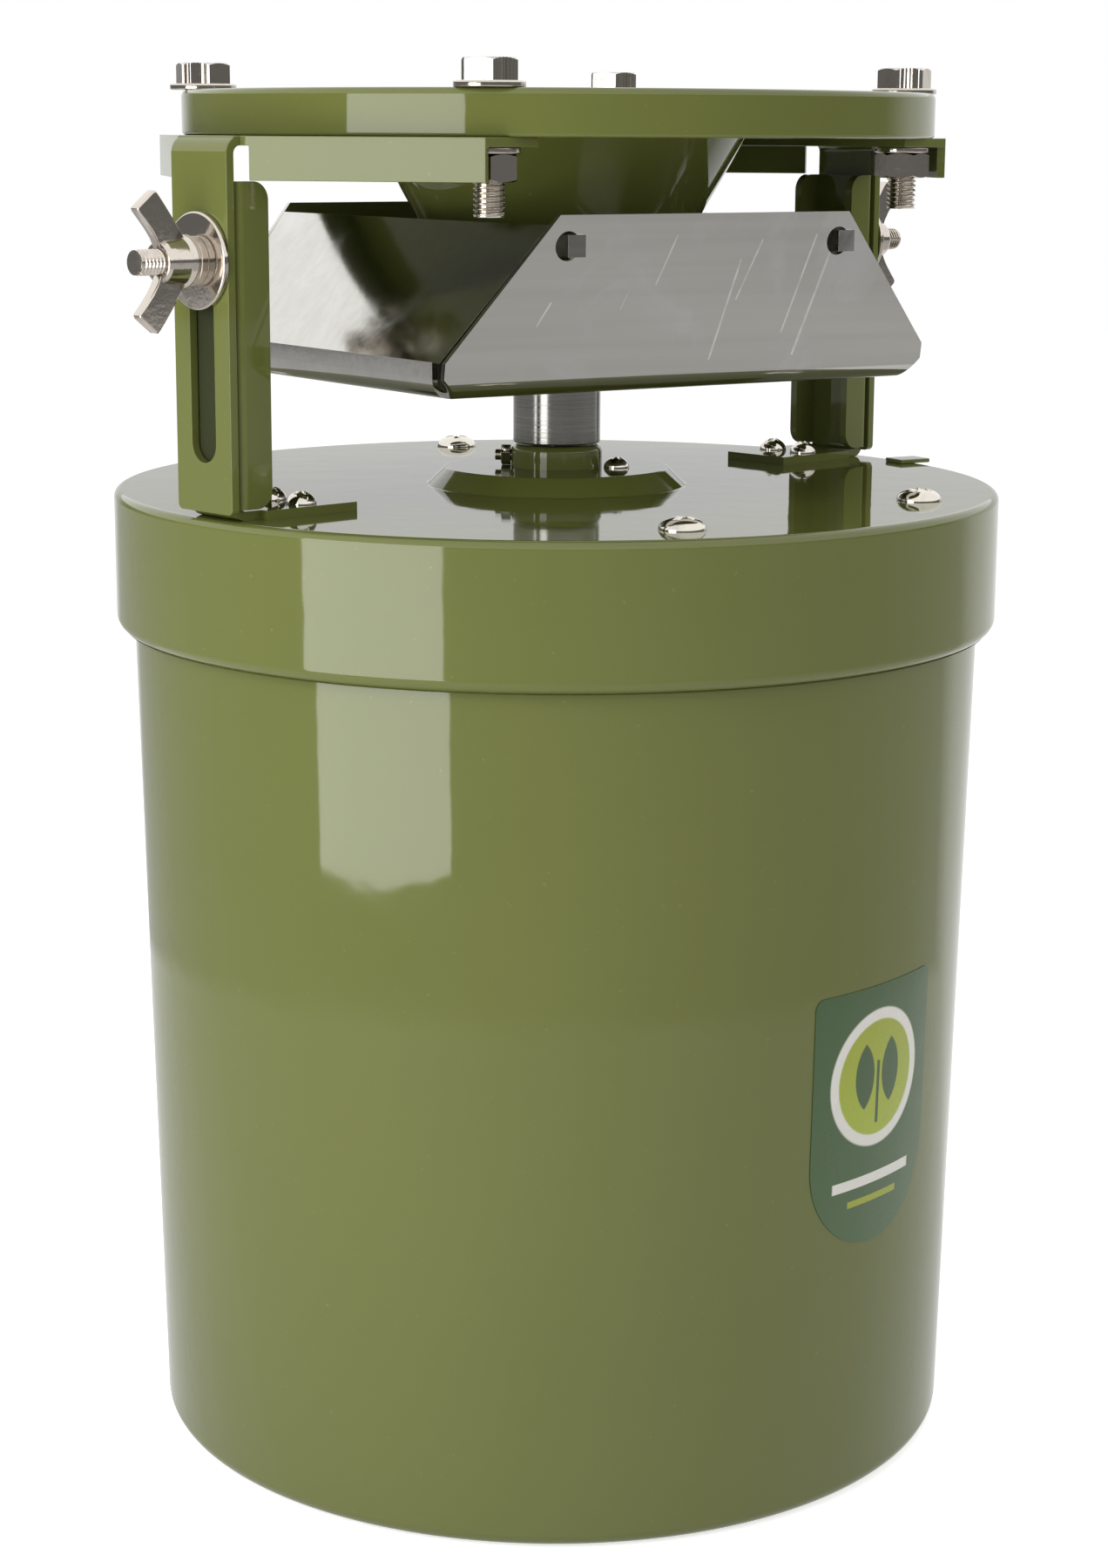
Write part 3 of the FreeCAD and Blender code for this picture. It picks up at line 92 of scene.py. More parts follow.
# Node, radius, rise and fullness of each kind of domed screw head, in millimetres
DOMED_SCREWS = (("lid_screws", 5.9, 3.2, 0.9), ("mound_screws", 3.5, 3.0, 1.2), ("foot_screws_right", 3.9, 3.5, 1.3),
                ("foot_screws_left", 3.9, 3.5, 1.3))

# Long scratches on the pan's near wall: start, end and width, in metres at rest
PAN_SCRATCHES = [
    ((0.0002, -0.0673, 0.3234), (-0.0064, -0.0628, 0.2985), 0.00042),
    ((0.0063, -0.0690, 0.3283), (0.0000, -0.0659, 0.3135), 0.00030),
    ((-0.0203, -0.0648, 0.3297), (-0.0253, -0.0623, 0.3178), 0.00030),
    ((0.0235, -0.0721, 0.3294), (0.0157, -0.0673, 0.3047), 0.00036),
    ((0.0288, -0.0724, 0.3257), (0.0201, -0.0673, 0.2989), 0.00050),
    ((-0.0560, -0.0567, 0.3140), (-0.0595, -0.0555, 0.3085), 0.00040),
    ((-0.0330, -0.0612, 0.3170), (-0.0352, -0.0600, 0.3120), 0.00034),
]
PAN_TURN = 9.5                      # degrees that the pan is turned at rest
# Painted shade on the lower brackets: a dark olive on the channel behind each leg's slot
PAINTED_SHADE_DEEP = 0.0004                # the painted shade starts this far inside the brackets' outer faces
PAINTED_SHADE_EDGE = 0.0001                # half the width of the painted shade's edge
DARK_SIDE = (-0.853, -0.522, 0.0)   # level direction of the room's dark side; the pale side lies opposite

SOFT_BOX_PLACE = (-0.555, -0.045)   # where the soft box stands, in metres

# Reflectance of the floor, its share of that in mirrors, and its own glow as seen straight
FLOOR_WHITE, FLOOR_IN_MIRRORS, FLOOR_GLOW = 0.86, 0.15, 0.62


# ---------------------------------------------------------------- shader helpers

def linear(red, green, blue):
    """Colour written as screen values from 0 to 255, as the linear colour that a shader takes."""
    def one(value):
        value /= 255
        return value / 12.92 if value <= 0.04045 else ((value + 0.055) / 1.055) ** 2.4
    return (one(red), one(green), one(blue), 1.0)


def put(tree, kind, inputs=None, **settings):
    """Adds a shader node. inputs maps a socket's name or number to a value or to another node's output."""
    made = tree.nodes.new("ShaderNode" + kind)
    for key, value in settings.items():
        setattr(made, key, value)
    for key, value in (inputs or {}).items():
        if isinstance(value, bpy.types.NodeSocket):
            tree.links.new(value, made.inputs[key])
        else:
            made.inputs[key].default_value = value
    return made


def sums(tree, operation, *values):
    """One Math node and its output."""
    return put(tree, "Math", dict(enumerate(values)), operation=operation).outputs[0]


def vectors(tree, operation, *values, out=0):
    """One Vector Math node and the output that is asked for."""
    return put(tree, "VectorMath", dict(enumerate(values)), operation=operation).outputs[out]


def blend(tree, share, first, second):
    """Value between two others."""
    return put(tree, "Mix", {0: share, 2: first, 3: second}, data_type="FLOAT").outputs[0]


def ramp(tree, value, low, high, to_low=0.0, to_high=1.0, smooth=False):
    """Value carried from one range to another and held inside it."""
    kind = "SMOOTHSTEP" if smooth else "LINEAR"
    return put(tree, "MapRange", {0: value, 1: low, 2: high, 3: to_low, 4: to_high}, interpolation_type=kind).outputs[0]


def mixed(tree, factor, first, second):
    """Colour mixed from two others."""
    return put(tree, "Mix", {0: factor, 6: first, 7: second}, data_type="RGBA").outputs[2]


def noise(tree, coordinate, scale, detail=3.0, rough=0.5, bend=0.0):
    """Noise value over the surface."""
    return put(tree, "TexNoise", {"Vector": coordinate, "Scale": scale, "Detail": detail, "Roughness": rough,
                                  "Distortion": bend}).outputs[0]


def effect(name, inputs, outputs):
    """New shader node group with its sockets; returns the tree, its inputs by name and its output node."""
    tree = bpy.data.node_groups.new(name, "ShaderNodeTree")
    for label, kind, start in inputs:
        socket = tree.interface.new_socket(name=label, in_out="INPUT", socket_type="NodeSocket" + kind)
        if start is not None:
            socket.default_value = start
    for label in outputs:
        tree.interface.new_socket(name=label, in_out="OUTPUT", socket_type="NodeSocketFloat")
    entry = tree.nodes.new("NodeGroupInput")
    leave = tree.nodes.new("NodeGroupOutput")
    return tree, entry.outputs, leave.inputs


def use(tree, name, inputs):
    """Places a node group in a material and returns its outputs."""
    return put(tree, "Group", inputs, node_tree=bpy.data.node_groups[name]).outputs


def make_effects():
    """The effects that several finishes share."""
    tree, given, result = effect("Sprayed ripple", [("Place", "Vector", None), ("Ripple", "Float", 90.0)],
                                 ["Height", "Tone", "Specks"])
    tree.links.new(noise(tree, given["Place"], given["Ripple"], 1.5), result["Height"])
    tree.links.new(ramp(tree, noise(tree, given["Place"], 7.0, 4.0), 0.3, 0.7), result["Tone"])
    tree.links.new(ramp(tree, noise(tree, given["Place"], 620.0, 1.0), 0.76, 0.80), result["Specks"])

    tree, given, result = effect("Rolled grain", [("Place", "Vector", None), ("Stretch", "Vector", (1, 1, 1))],
                                 ["Height", "Streaks"])
    drawn = vectors(tree, "MULTIPLY", given["Place"], given["Stretch"])
    tree.links.new(noise(tree, drawn, 1.0, 4.0, 0.6), result["Height"])
    tree.links.new(ramp(tree, noise(tree, drawn, 0.35, 3.0), 0.35, 0.65), result["Streaks"])

    tree, given, result = effect("Long scratch", [("Place", "Vector", None), ("Start", "Vector", None),
                                                  ("End", "Vector", None), ("Width", "Float", 0.0003)], ["Mask"])
    from_start = vectors(tree, "SUBTRACT", given["Place"], given["Start"])
    whole = vectors(tree, "SUBTRACT", given["End"], given["Start"])
    share = sums(tree, "DIVIDE", vectors(tree, "DOT_PRODUCT", from_start, whole, out=1),
                 vectors(tree, "DOT_PRODUCT", whole, whole, out=1))
    held = put(tree, "Clamp", {0: share}).outputs[0]
    along = put(tree, "VectorMath", {0: whole, "Scale": held}, operation="SCALE").outputs[0]
    off = vectors(tree, "LENGTH", vectors(tree, "SUBTRACT", from_start, along), out=1)
    tree.links.new(ramp(tree, sums(tree, "DIVIDE", off, given["Width"]), 0.3, 1.0, 1.0, 0.0), result["Mask"])

    tree, given, result = effect("Dark side of the room", [("Direction", "Vector", None)], ["Behind", "Above"])
    level = vectors(tree, "NORMALIZE", vectors(tree, "MULTIPLY", given["Direction"], (1.0, 1.0, 0.0)))
    toward = vectors(tree, "DOT_PRODUCT", level, DARK_SIDE, out=1)
    tree.links.new(ramp(tree, toward, -0.86, -0.60, 1.0, 0.0, smooth=True), result["Behind"])
    height = put(tree, "SeparateXYZ", {0: vectors(tree, "NORMALIZE", given["Direction"])}).outputs[2]
    tree.links.new(ramp(tree, height, 0.13, 0.175, smooth=True), result["Above"])

    tree, given, result = effect("Handling smudges", [("Place", "Vector", None), ("Scale", "Float", 30.0)], ["Mask"])
    cloud = noise(tree, given["Place"], given["Scale"], 5.0, 0.6, 0.8)
    tree.links.new(ramp(tree, cloud, 0.5, 0.72, smooth=True), result["Mask"])

    for name, square in (("Printed disc", False), ("Printed bar", True)):
        tree, given, result = effect(name, [("Across", "Float", 0.0), ("Up", "Float", 0.0), ("Middle", "Vector", None),
                                            ("Reach", "Vector", (1, 1, 1))], ["Mask"])
        place = put(tree, "CombineXYZ", {0: given["Across"], 1: given["Up"]}).outputs[0]
        away = vectors(tree, "DIVIDE", vectors(tree, "SUBTRACT", place, given["Middle"]), given["Reach"])
        if square:
            parts = put(tree, "SeparateXYZ", {0: vectors(tree, "ABSOLUTE", away)}).outputs
            distance = sums(tree, "MAXIMUM", parts[0], parts[1])
        else:
            distance = vectors(tree, "LENGTH", away, out=1)
        tree.links.new(ramp(tree, distance, 0.985, 1.015, 1.0, 0.0), result["Mask"])


def finish(name, **constants):
    """New material; returns it with its tree, its Principled shader and the place on the object."""
    made = bpy.data.materials.new(name)
    made.use_nodes = True
    tree = made.node_tree
    shader = tree.nodes["Principled BSDF"]
    for key, value in constants.items():
        shader.inputs[key.replace("_", " ")].default_value = value
    place = put(tree, "TexCoord").outputs["Object"]
    return made, tree, shader, place


def bump(tree, shader, height, distance):
    """Height turned into the shader's normal."""
    raised = put(tree, "Bump", {"Height": height, "Distance": distance, "Strength": 1.0})
    tree.links.new(raised.outputs[0], shader.inputs["Normal"])


def enamel_finish(name="olive_enamel", shade_from=None):
    """Glossy sprayed olive enamel with a faint ripple, a slow shift of tone and a few dust specks.

    Beyond a given distance along X it is painted shade: a dark olive, rougher and duller, that stands for the shade in
    the channel behind the leg's slot.
    """
    told = bpy.context.scene.spreader_enamel
    made, tree, shader, place = finish(name)
    shader.inputs["IOR"].default_value = told.depth
    surface = use(tree, "Sprayed ripple", {"Place": place, "Ripple": told.ripple})
    tone = mixed(tree, surface["Tone"], (*told.colour, 1.0), (*told.shade, 1.0))
    colour = mixed(tree, surface["Specks"], tone, linear(104, 110, 60))
    rough = ramp(tree, surface["Tone"], 0.0, 1.0, told.gloss_low, told.gloss_high)
    # Painted shade: past the given distance the enamel turns dark olive, rougher and duller, for the shade behind the
    # slot
    if shade_from:
        away = sums(tree, "ABSOLUTE", put(tree, "SeparateXYZ", {0: place}).outputs[0])
        painted_shade = ramp(tree, away, shade_from - PAINTED_SHADE_EDGE, shade_from + PAINTED_SHADE_EDGE)
        colour = mixed(tree, painted_shade, colour, linear(42, 46, 24))
        rough = sums(tree, "ADD", rough, sums(tree, "MULTIPLY", painted_shade, 0.6))
        tree.links.new(ramp(tree, painted_shade, 0.0, 1.0, 0.5, 0.2), shader.inputs["Specular IOR Level"])
    tree.links.new(colour, shader.inputs["Base Color"])
    tree.links.new(rough, shader.inputs["Roughness"])
    bump(tree, shader, surface["Height"], 0.00006)
    return made


def pan_finish():
    """Bright rolled stainless sheet with long scratches, wiped smudges and a fine grain along the walls."""
    made, tree, shader, place = finish("rolled_stainless", Metallic=1.0)
    turned = put(tree, "VectorRotate", {"Vector": place, "Angle": math.radians(PAN_TURN)},
                 rotation_type="Z_AXIS").outputs[0]
    grain = use(tree, "Rolled grain", {"Place": turned, "Stretch": (18.0, 900.0, 900.0)})
    smudge = use(tree, "Handling smudges", {"Place": place, "Scale": 34.0})["Mask"]
    marks = None
    for start, end, wide in PAN_SCRATCHES:
        mask = use(tree, "Long scratch", {"Place": place, "Start": start, "End": end, "Width": wide})["Mask"]
        marks = mask if marks is None else sums(tree, "MAXIMUM", marks, mask)
    broken = ramp(tree, noise(tree, place, 260.0, 2.0), 0.35, 0.6, 0.35, 1.0)
    marks = sums(tree, "MULTIPLY", marks, broken)
    steel = mixed(tree, grain["Streaks"], linear(192, 190, 184), linear(187, 185, 179))
    steel = mixed(tree, sums(tree, "MULTIPLY", smudge, 0.5), steel, linear(206, 206, 205))
    tree.links.new(mixed(tree, marks, steel, linear(238, 236, 232)), shader.inputs["Base Color"])
    rough = sums(tree, "ADD", ramp(tree, grain["Height"], 0.3, 0.7, 0.08, 0.12), sums(tree, "MULTIPLY", smudge, 0.10))
    tree.links.new(sums(tree, "ADD", rough, sums(tree, "MULTIPLY", marks, 0.18)), shader.inputs["Roughness"])
    dents = noise(tree, place, 11.0, 1.0)
    height = sums(tree, "ADD", sums(tree, "MULTIPLY", grain["Height"], 0.006),
                  sums(tree, "SUBTRACT", sums(tree, "MULTIPLY", dents, 0.35), sums(tree, "MULTIPLY", marks, 0.03)))
    bump(tree, shader, height, 0.001)
    return made


def turned_finish(name, colour, low, high, rings):
    """Steel turned on a lathe, with fine rings round the upright axis."""
    made, tree, shader, place = finish(name, Metallic=1.0)
    grain = use(tree, "Rolled grain", {"Place": place, "Stretch": (30.0, 30.0, rings)})
    tree.links.new(mixed(tree, grain["Streaks"], colour, tuple(0.86 * part for part in colour[:3]) + (1.0,)),
                   shader.inputs["Base Color"])
    tree.links.new(ramp(tree, grain["Height"], 0.3, 0.7, low, high), shader.inputs["Roughness"])
    bump(tree, shader, grain["Height"], 0.00002)
    return made


def bright_finish(name, colour, low, high):
    """Bright polished or plated metal with faint handling marks."""
    made, tree, shader, place = finish(name, Metallic=1.0)
    smudge = use(tree, "Handling smudges", {"Place": place, "Scale": 210.0})["Mask"]
    dull = tuple(0.8 * part for part in colour[:3]) + (1.0,)
    tree.links.new(mixed(tree, smudge, colour, dull), shader.inputs["Base Color"])
    tree.links.new(ramp(tree, smudge, 0.0, 1.0, low, high), shader.inputs["Roughness"])
    bump(tree, shader, noise(tree, place, 700.0, 2.0), 0.00002)
    return made


def moulded_finish(name, colour, shade, low, high):
    """Moulded plastic or rubber with a fine texture and a slow change of tone."""
    made, tree, shader, place = finish(name)
    surface = use(tree, "Sprayed ripple", {"Place": place, "Ripple": 900.0})
    tree.links.new(mixed(tree, surface["Tone"], colour, shade), shader.inputs["Base Color"])
    tree.links.new(ramp(tree, surface["Height"], 0.3, 0.7, low, high), shader.inputs["Roughness"])
    bump(tree, shader, surface["Height"], 0.00003)
    return made


def spangled_finish():
    """Galvanised sheet with zinc spangle."""
    made, tree, shader, place = finish("galvanised_sheet", Metallic=1.0)
    crystals = put(tree, "TexVoronoi", {"Vector": place, "Scale": 130.0, "Randomness": 1.0})
    grey = put(tree, "SeparateXYZ", {0: crystals.outputs["Color"]}).outputs[0]
    tree.links.new(mixed(tree, grey, linear(158, 161, 164), linear(196, 199, 202)), shader.inputs["Base Color"])
    tree.links.new(ramp(tree, grey, 0.0, 1.0, 0.32, 0.5), shader.inputs["Roughness"])
    bump(tree, shader, noise(tree, place, 300.0), 0.00003)
    return made


def board_finish():
    """Green circuit board with copper tracks under its lacquer."""
    made, tree, shader, place = finish("circuit_board")
    bricks = put(tree, "TexBrick", {"Vector": place, "Scale": 160.0, "Mortar Size": 0.03})
    tree.links.new(mixed(tree, bricks.outputs["Fac"], linear(24, 84, 44), linear(70, 128, 66)),
                   shader.inputs["Base Color"])
    tree.links.new(ramp(tree, noise(tree, place, 90.0), 0.3, 0.7, 0.25, 0.4), shader.inputs["Roughness"])
    bump(tree, shader, bricks.outputs["Fac"], 0.00004)
    return made


def label_finish():
    """Printed film: green field, a white ring round a lime disc with two leaves, and two rules."""
    told = bpy.context.scene.spreader_label
    made, tree, shader, place = finish("printed_film", Coat_Weight=0.3)
    parts = put(tree, "SeparateXYZ", {0: place}).outputs
    heading = sums(tree, "ARCTAN2", parts[1], parts[0])
    across = sums(tree, "MULTIPLY", sums(tree, "SUBTRACT", heading, math.radians(told.heading)), told.radius)
    up = sums(tree, "SUBTRACT", parts[2], told.low)

    def mask(shape, across_at, up_at, reach):
        return use(tree, "Printed " + shape, {"Across": across, "Up": up, "Middle": (across_at, up_at, 0),
                                              "Reach": (*reach, 1)})["Mask"]

    green, white = linear(50, 78, 36), linear(206, 204, 196)
    lime_top, lime_low = linear(142, 150, 30), linear(150, 164, 44)
    centre, ring_reach, lime_reach = 0.045, 0.0185, 0.0155
    leaf_reach, leaf_level, leaf_inner, leaf_outer = (0.0082, 0.0105), centre + 0.001, 0.0010, 0.0098
    ground = mixed(tree, ramp(tree, up, 0.0, told.tall), linear(60, 86, 46), green)
    inked = mixed(tree, mask("disc", 0, centre, (ring_reach, ring_reach)), ground, white)
    lime = mixed(tree, ramp(tree, up, centre - 0.016, centre + 0.016), lime_low, lime_top)
    inked = mixed(tree, mask("disc", 0, centre, (lime_reach, lime_reach)), inked, lime)
    for way in (-1, 1):
        leaf = sums(tree, "MULTIPLY", mask("disc", way * leaf_inner, leaf_level, leaf_reach),
                    mask("disc", way * leaf_outer, leaf_level, leaf_reach))
        inked = mixed(tree, leaf, inked, green)
    for level, reach, ink in ((centre - 0.004, (0.0006, 0.0085), green), (0.0175, (0.0165, 0.0014), white),
                              (0.0120, (0.0105, 0.0009), lime_top)):
        inked = mixed(tree, mask("bar", 0, level, reach), inked, ink)
    tree.links.new(inked, shader.inputs["Base Color"])
    tree.links.new(ramp(tree, noise(tree, place, 60.0), 0.3, 0.7, 0.22, 0.34), shader.inputs["Roughness"])
    bump(tree, shader, noise(tree, place, 140.0, 1.0), 0.00003)
    return made


def window_finish():
    """Grey-green liquid crystal window with faint unlit digits' blocks."""
    made, tree, shader, place = finish("display_window")
    cells = put(tree, "TexBrick", {"Vector": place, "Scale": 70.0, "Mortar Size": 0.02})
    tree.links.new(mixed(tree, cells.outputs["Fac"], linear(122, 134, 112), linear(108, 120, 100)),
                   shader.inputs["Base Color"])
    tree.links.new(ramp(tree, noise(tree, place, 40.0), 0.3, 0.7, 0.05, 0.12), shader.inputs["Roughness"])
    return made


def make_finishes():
    """Every finish, by the name that the pieces ask for."""
    make_effects()
    return {
        "enamel": enamel_finish(),
        # Enamel with painted shade in the lower brackets' channel behind the legs' slots
        "channel with painted shade": enamel_finish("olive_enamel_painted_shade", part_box("lower_bracket_right")[1].x - PAINTED_SHADE_DEEP),
        "pan": pan_finish(),
        "turned": turned_finish("turned_steel", linear(142, 141, 137), 0.12, 0.24, 2600.0),
        "shaft": turned_finish("ground_shaft", linear(198, 198, 196), 0.12, 0.22, 3600.0),
        "bright": bright_finish("polished_steel", linear(200, 192, 182), 0.10, 0.22),
        "nickel": bright_finish("plated_screw", linear(206, 200, 190), 0.06, 0.16),
        "galvanised": spangled_finish(),
        "alloy": bright_finish("cast_alloy", linear(170, 171, 172), 0.38, 0.55),
        "can": bright_finish("motor_can_steel", linear(120, 122, 126), 0.24, 0.36),
        "tin": bright_finish("tinned_brass", linear(200, 190, 150), 0.22, 0.34),
        "rubber": moulded_finish("black_rubber", linear(30, 30, 30), linear(42, 41, 40), 0.55, 0.75),
        "black": moulded_finish("black_plastic", linear(34, 35, 36), linear(46, 47, 48), 0.38, 0.55),
        "grey": moulded_finish("grey_plastic", linear(150, 152, 152), linear(136, 138, 138), 0.35, 0.5),
        "board": board_finish(),
        "window": window_finish(),
        "label": label_finish(),
    }


FINISHES = {}
PLAIN_FINISH = {"olive_paint": "enamel", "stainless": "shaft", "zinc": "bright", "rubber": "rubber",
                "galvanised": "galvanised", "gearbox_alloy": "alloy", "motor_can": "can", "black_plastic": "black",
                "button_plastic": "grey", "display": "window", "board": "board", "terminal": "tin",
                "label_film": "label"}


# ---------------------------------------------------------------- mesh helpers

def round_corners(points, steps=5):
    """Closed outline in which a corner with a radius becomes a short arc; each point is (across, up, radius)."""
    done = []
    for index, (across, up, radius) in enumerate(points):
        if not radius:
            done.append((across, up))
            continue
        here = Vector((across, up))
        back = (Vector(points[index - 1][:2]) - here).normalized()
        onward = (Vector(points[(index + 1) % len(points)][:2]) - here).normalized()
        half = back.angle(onward) / 2
        centre = here + (back + onward).normalized() * (radius / math.sin(half))
        start = here + back * (radius / math.tan(half)) - centre
        end = here + onward * (radius / math.tan(half)) - centre
        done += [tuple(centre + start.slerp(end, step / steps).normalized() * radius) for step in range(steps + 1)]
    return done


def settle(shape, name, sharp=34.0):
    """Closes a working mesh: merged points, outward faces, creases where the shape has them.

    Each corner's normal leans towards the larger faces beside it, so large flat faces stay flat.
    """
    bmesh.ops.remove_doubles(shape, verts=shape.verts, dist=1e-7)
    bmesh.ops.recalc_face_normals(shape, faces=shape.faces)
    for face in shape.faces:
        face.smooth = True
    for edge in shape.edges:
        edge.smooth = len(edge.link_faces) == 2 and edge.calc_face_angle() < math.radians(sharp)
    weight = {face: face.normal * face.calc_area() for face in shape.faces}
    alike = math.cos(math.radians(sharp + 16.0))
    corners = []
    for face in shape.faces:
        for corner in face.loops:
            near = [weight[other] for other in corner.vert.link_faces if other.normal.dot(face.normal) > alike]
            corners.append(sum(near, Vector()).normalized())
    mesh = bpy.data.meshes.new(name)
    shape.to_mesh(mesh)
    shape.free()
    mesh.normals_split_custom_set(corners)
    return mesh


def spin(shape, outline, steps=96, move=Matrix.Identity(4)):
    """Adds a closed outline of (radius, height) in millimetres, turned round the upright axis and then moved."""
    rings = []
    for step in range(steps):
        turn = math.tau * step / steps
        rings.append([shape.verts.new(move @ (Vector((radius * math.cos(turn), radius * math.sin(turn), up)) * MM))
                      for radius, up in outline])
    for step in range(steps):
        here, there = rings[step], rings[(step + 1) % steps]
        for index in range(len(outline)):
            after = (index + 1) % len(outline)
            if outline[index][0] < 1e-6 and outline[after][0] < 1e-6:
                continue
            shape.faces.new((here[index], there[index], there[after], here[after]))
    bmesh.ops.remove_doubles(shape, verts=shape.verts, dist=1e-7)


def washer(shape, hole, radius, low, high, softs, steps, move):
    """Adds a flat washer. softs are its corner radii, from the hole's lower edge outwards and back above."""
    corners = ((hole, low), (radius, low), (radius, high), (hole, high))
    spin(shape, round_corners([(*corner, soft) for corner, soft in zip(corners, softs)], 3), steps, move)


def ring(radius, level, around=28):
    """Points round the upright axis at one level, in millimetres."""
    return [(radius * math.cos(math.tau * step / around), radius * math.sin(math.tau * step / around), level)
            for step in range(around)]


def stack(shape, rows, move):
    """Adds a closed skin over rows of points in millimetres, capped at both ends."""
    made = [[shape.verts.new(move @ (Vector(point) * MM)) for point in row] for row in rows]
    count = len(rows[0])
    for low, high in zip(made, made[1:]):
        for index in range(count):
            after = (index + 1) % count
            shape.faces.new((low[index], low[after], high[after], high[index]))
    shape.faces.new(made[0])
    shape.faces.new(list(reversed(made[-1])))


def thread_rows(radius, low, high, pitch, depth, around=28, per_turn=7):
    """Rows of a screw thread from low to high, run out at both ends."""
    rows = []
    total = max(2, round((high - low) / pitch * per_turn))
    for step in range(total + 1):
        up = low + (high - low) * step / total
        ease = min(1.0, (up - low) / pitch, (high - up) / pitch)
        row = []
        for index in range(around):
            turn = math.tau * index / around
            wave = abs(((up / pitch - index / around) % 1.0) * 2 - 1)
            cut = depth * (1 - min(1.0, max(0.0, wave * 1.5 - 0.25))) * ease + 0.35 * depth * (1 - ease)
            row.append(((radius - cut) * math.cos(turn), (radius - cut) * math.sin(turn), up))
        rows.append(row)
    return rows


def hex_rows(flats, low, high, chamfer_low, chamfer_high, ribs=0.0, around=144):
    """Rows of a hexagon head or nut with turned chamfers, and shallow ribs on every other face."""
    half, rib_reach, rib_count = flats / 2, 2.7, 5
    rows = []
    for level, inward in ((low, chamfer_low), (low, False), (high, False), (high, chamfer_high)):
        row = []
        for index in range(around):
            turn = math.tau * index / around
            across = (turn + math.pi / 6) % (math.pi / 3) - math.pi / 6
            reach = half / math.cos(across)
            face = int((turn + math.pi / 6) / (math.pi / 3)) % 6
            spread = half * math.tan(across)
            if ribs and face % 2 == 0 and abs(spread) < rib_reach:
                reach -= ribs * (0.5 - 0.5 * math.cos(spread / rib_reach * math.pi * rib_count))
            slope = max(0.0, reach - half * 0.97) * 0.55
            if inward:
                point = (min(reach, half * 0.955), level)
            else:
                lift = slope if level == low and chamfer_low else -slope if level == high and chamfer_high else 0.0
                point = (reach, level + lift)
            row.append((point[0] * math.cos(turn), point[0] * math.sin(turn), point[1]))
        rows.append(row)
    return rows


def outline_solid(shape, outline, half, move, soft=0.5):
    """Adds a flat piece cut to an outline in millimetres, with softened edges, half its thickness each side."""
    centre = Vector((sum(p[0] for p in outline) / len(outline), sum(p[1] for p in outline) / len(outline)))
    rows = []
    for level, inset in ((-half, soft), (-half + soft * 0.3, soft * 0.3), (-half + soft, 0.0), (half - soft, 0.0),
                         (half - soft * 0.3, soft * 0.3), (half, soft)):
        row = []
        for point in outline:
            away = Vector(point) - centre
            moved = centre + away * (1 - inset / max(away.length, 1e-6))
            row.append((moved.x, moved.y, level))
        rows.append(row)
    stack(shape, rows, move)


def add_piece(name, mesh, look, node):
    """Puts a finished piece on the body of the CAD node that it stands for, with its look."""
    thing = bpy.data.objects.new(name, mesh)
    bpy.context.scene.collection.objects.link(thing)
    mesh.materials.append(FINISHES[look])
    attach(thing, BODY_OF[node])
    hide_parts(node)


def turned_piece(name, outline, steps, look, node):
    """Adds a piece turned from one outline of (radius, height, corner radius)."""
    shape = bmesh.new()
    spin(shape, round_corners(outline), steps)
    add_piece(name, settle(shape, name), look, node)


def softened(node, look, width=0.35, sharp=32.0, steps=2):
    """Stands a copy with softened edges in for a CAD node."""
    shape = bmesh.new()
    shape.from_mesh(frame["nodes"][node].data)
    bmesh.ops.remove_doubles(shape, verts=shape.verts, dist=2e-6)
    bmesh.ops.dissolve_limit(shape, angle_limit=math.radians(0.5), verts=shape.verts, edges=shape.edges)
    edges = [edge for edge in shape.edges
             if len(edge.link_faces) == 2 and edge.calc_face_angle() > math.radians(sharp)]
    bmesh.ops.bevel(shape, geom=edges, offset=width * MM, offset_type="OFFSET", segments=steps, profile=0.5,
                    affect="EDGES", clamp_overlap=True)
    bmesh.ops.triangulate(shape, faces=[face for face in shape.faces if len(face.verts) > 4])
    add_piece(node + "_dressed", settle(shape, node), look, node)


def painted(node, look=None):
    """Gives a carried-over CAD node its finish."""
    thing = frame["nodes"][node]
    thing.data.materials.clear()
    thing.data.materials.append(FINISHES[look or PLAIN_FINISH[SLOT_OF[node]]])


def spots_of(node):
    """Low and high corners of a node's separate solids at rest, in millimetres, from its own mesh."""
    mesh = frame["nodes"][node].data
    shape = bmesh.new()
    shape.from_mesh(mesh)
    bmesh.ops.remove_doubles(shape, verts=shape.verts, dist=2e-6)
    left = set(shape.verts)
    found = []
    while left:
        group, queue = [], [left.pop()]
        while queue:
            vert = queue.pop()
            group.append(vert.co.copy())
            for edge in vert.link_edges:
                other = edge.other_vert(vert)
                if other in left:
                    left.remove(other)
                    queue.append(other)
        low = Vector([min(point[axis] for point in group) for axis in range(3)])
        high = Vector([max(point[axis] for point in group) for axis in range(3)])
        found.append((low / MM, high / MM))
    shape.free()
    return sorted(found, key=lambda pair: (round(pair[0].x, 1), round(pair[0].y, 1)))


# ---------------------------------------------------------------- settings

class SPREADER_PG_enamel(bpy.types.PropertyGroup):
    colour: FloatVectorProperty(name="Colour", description="Main colour of the enamel", subtype="COLOR", size=3,
                                min=0, max=1, default=linear(96, 101, 50)[:3])
    shade: FloatVectorProperty(name="Second tone", description="Colour that the enamel drifts towards", subtype="COLOR",
                               size=3, min=0, max=1, default=linear(91, 97, 46)[:3])
    depth: FloatProperty(name="Gloss depth", description="Refractive index of the enamel", default=1.5,
                         min=1.3, max=1.8)
    gloss_low: FloatProperty(name="Least roughness", description="Roughness where the coat is thickest", default=0.035,
                             min=0, max=1)
    gloss_high: FloatProperty(name="Most roughness", description="Roughness where the coat is thinnest", default=0.06,
                              min=0, max=1)
    ripple: FloatProperty(name="Ripple scale", description="How close together the ripples of the coat lie",
                          default=70.0, min=1, max=1000)


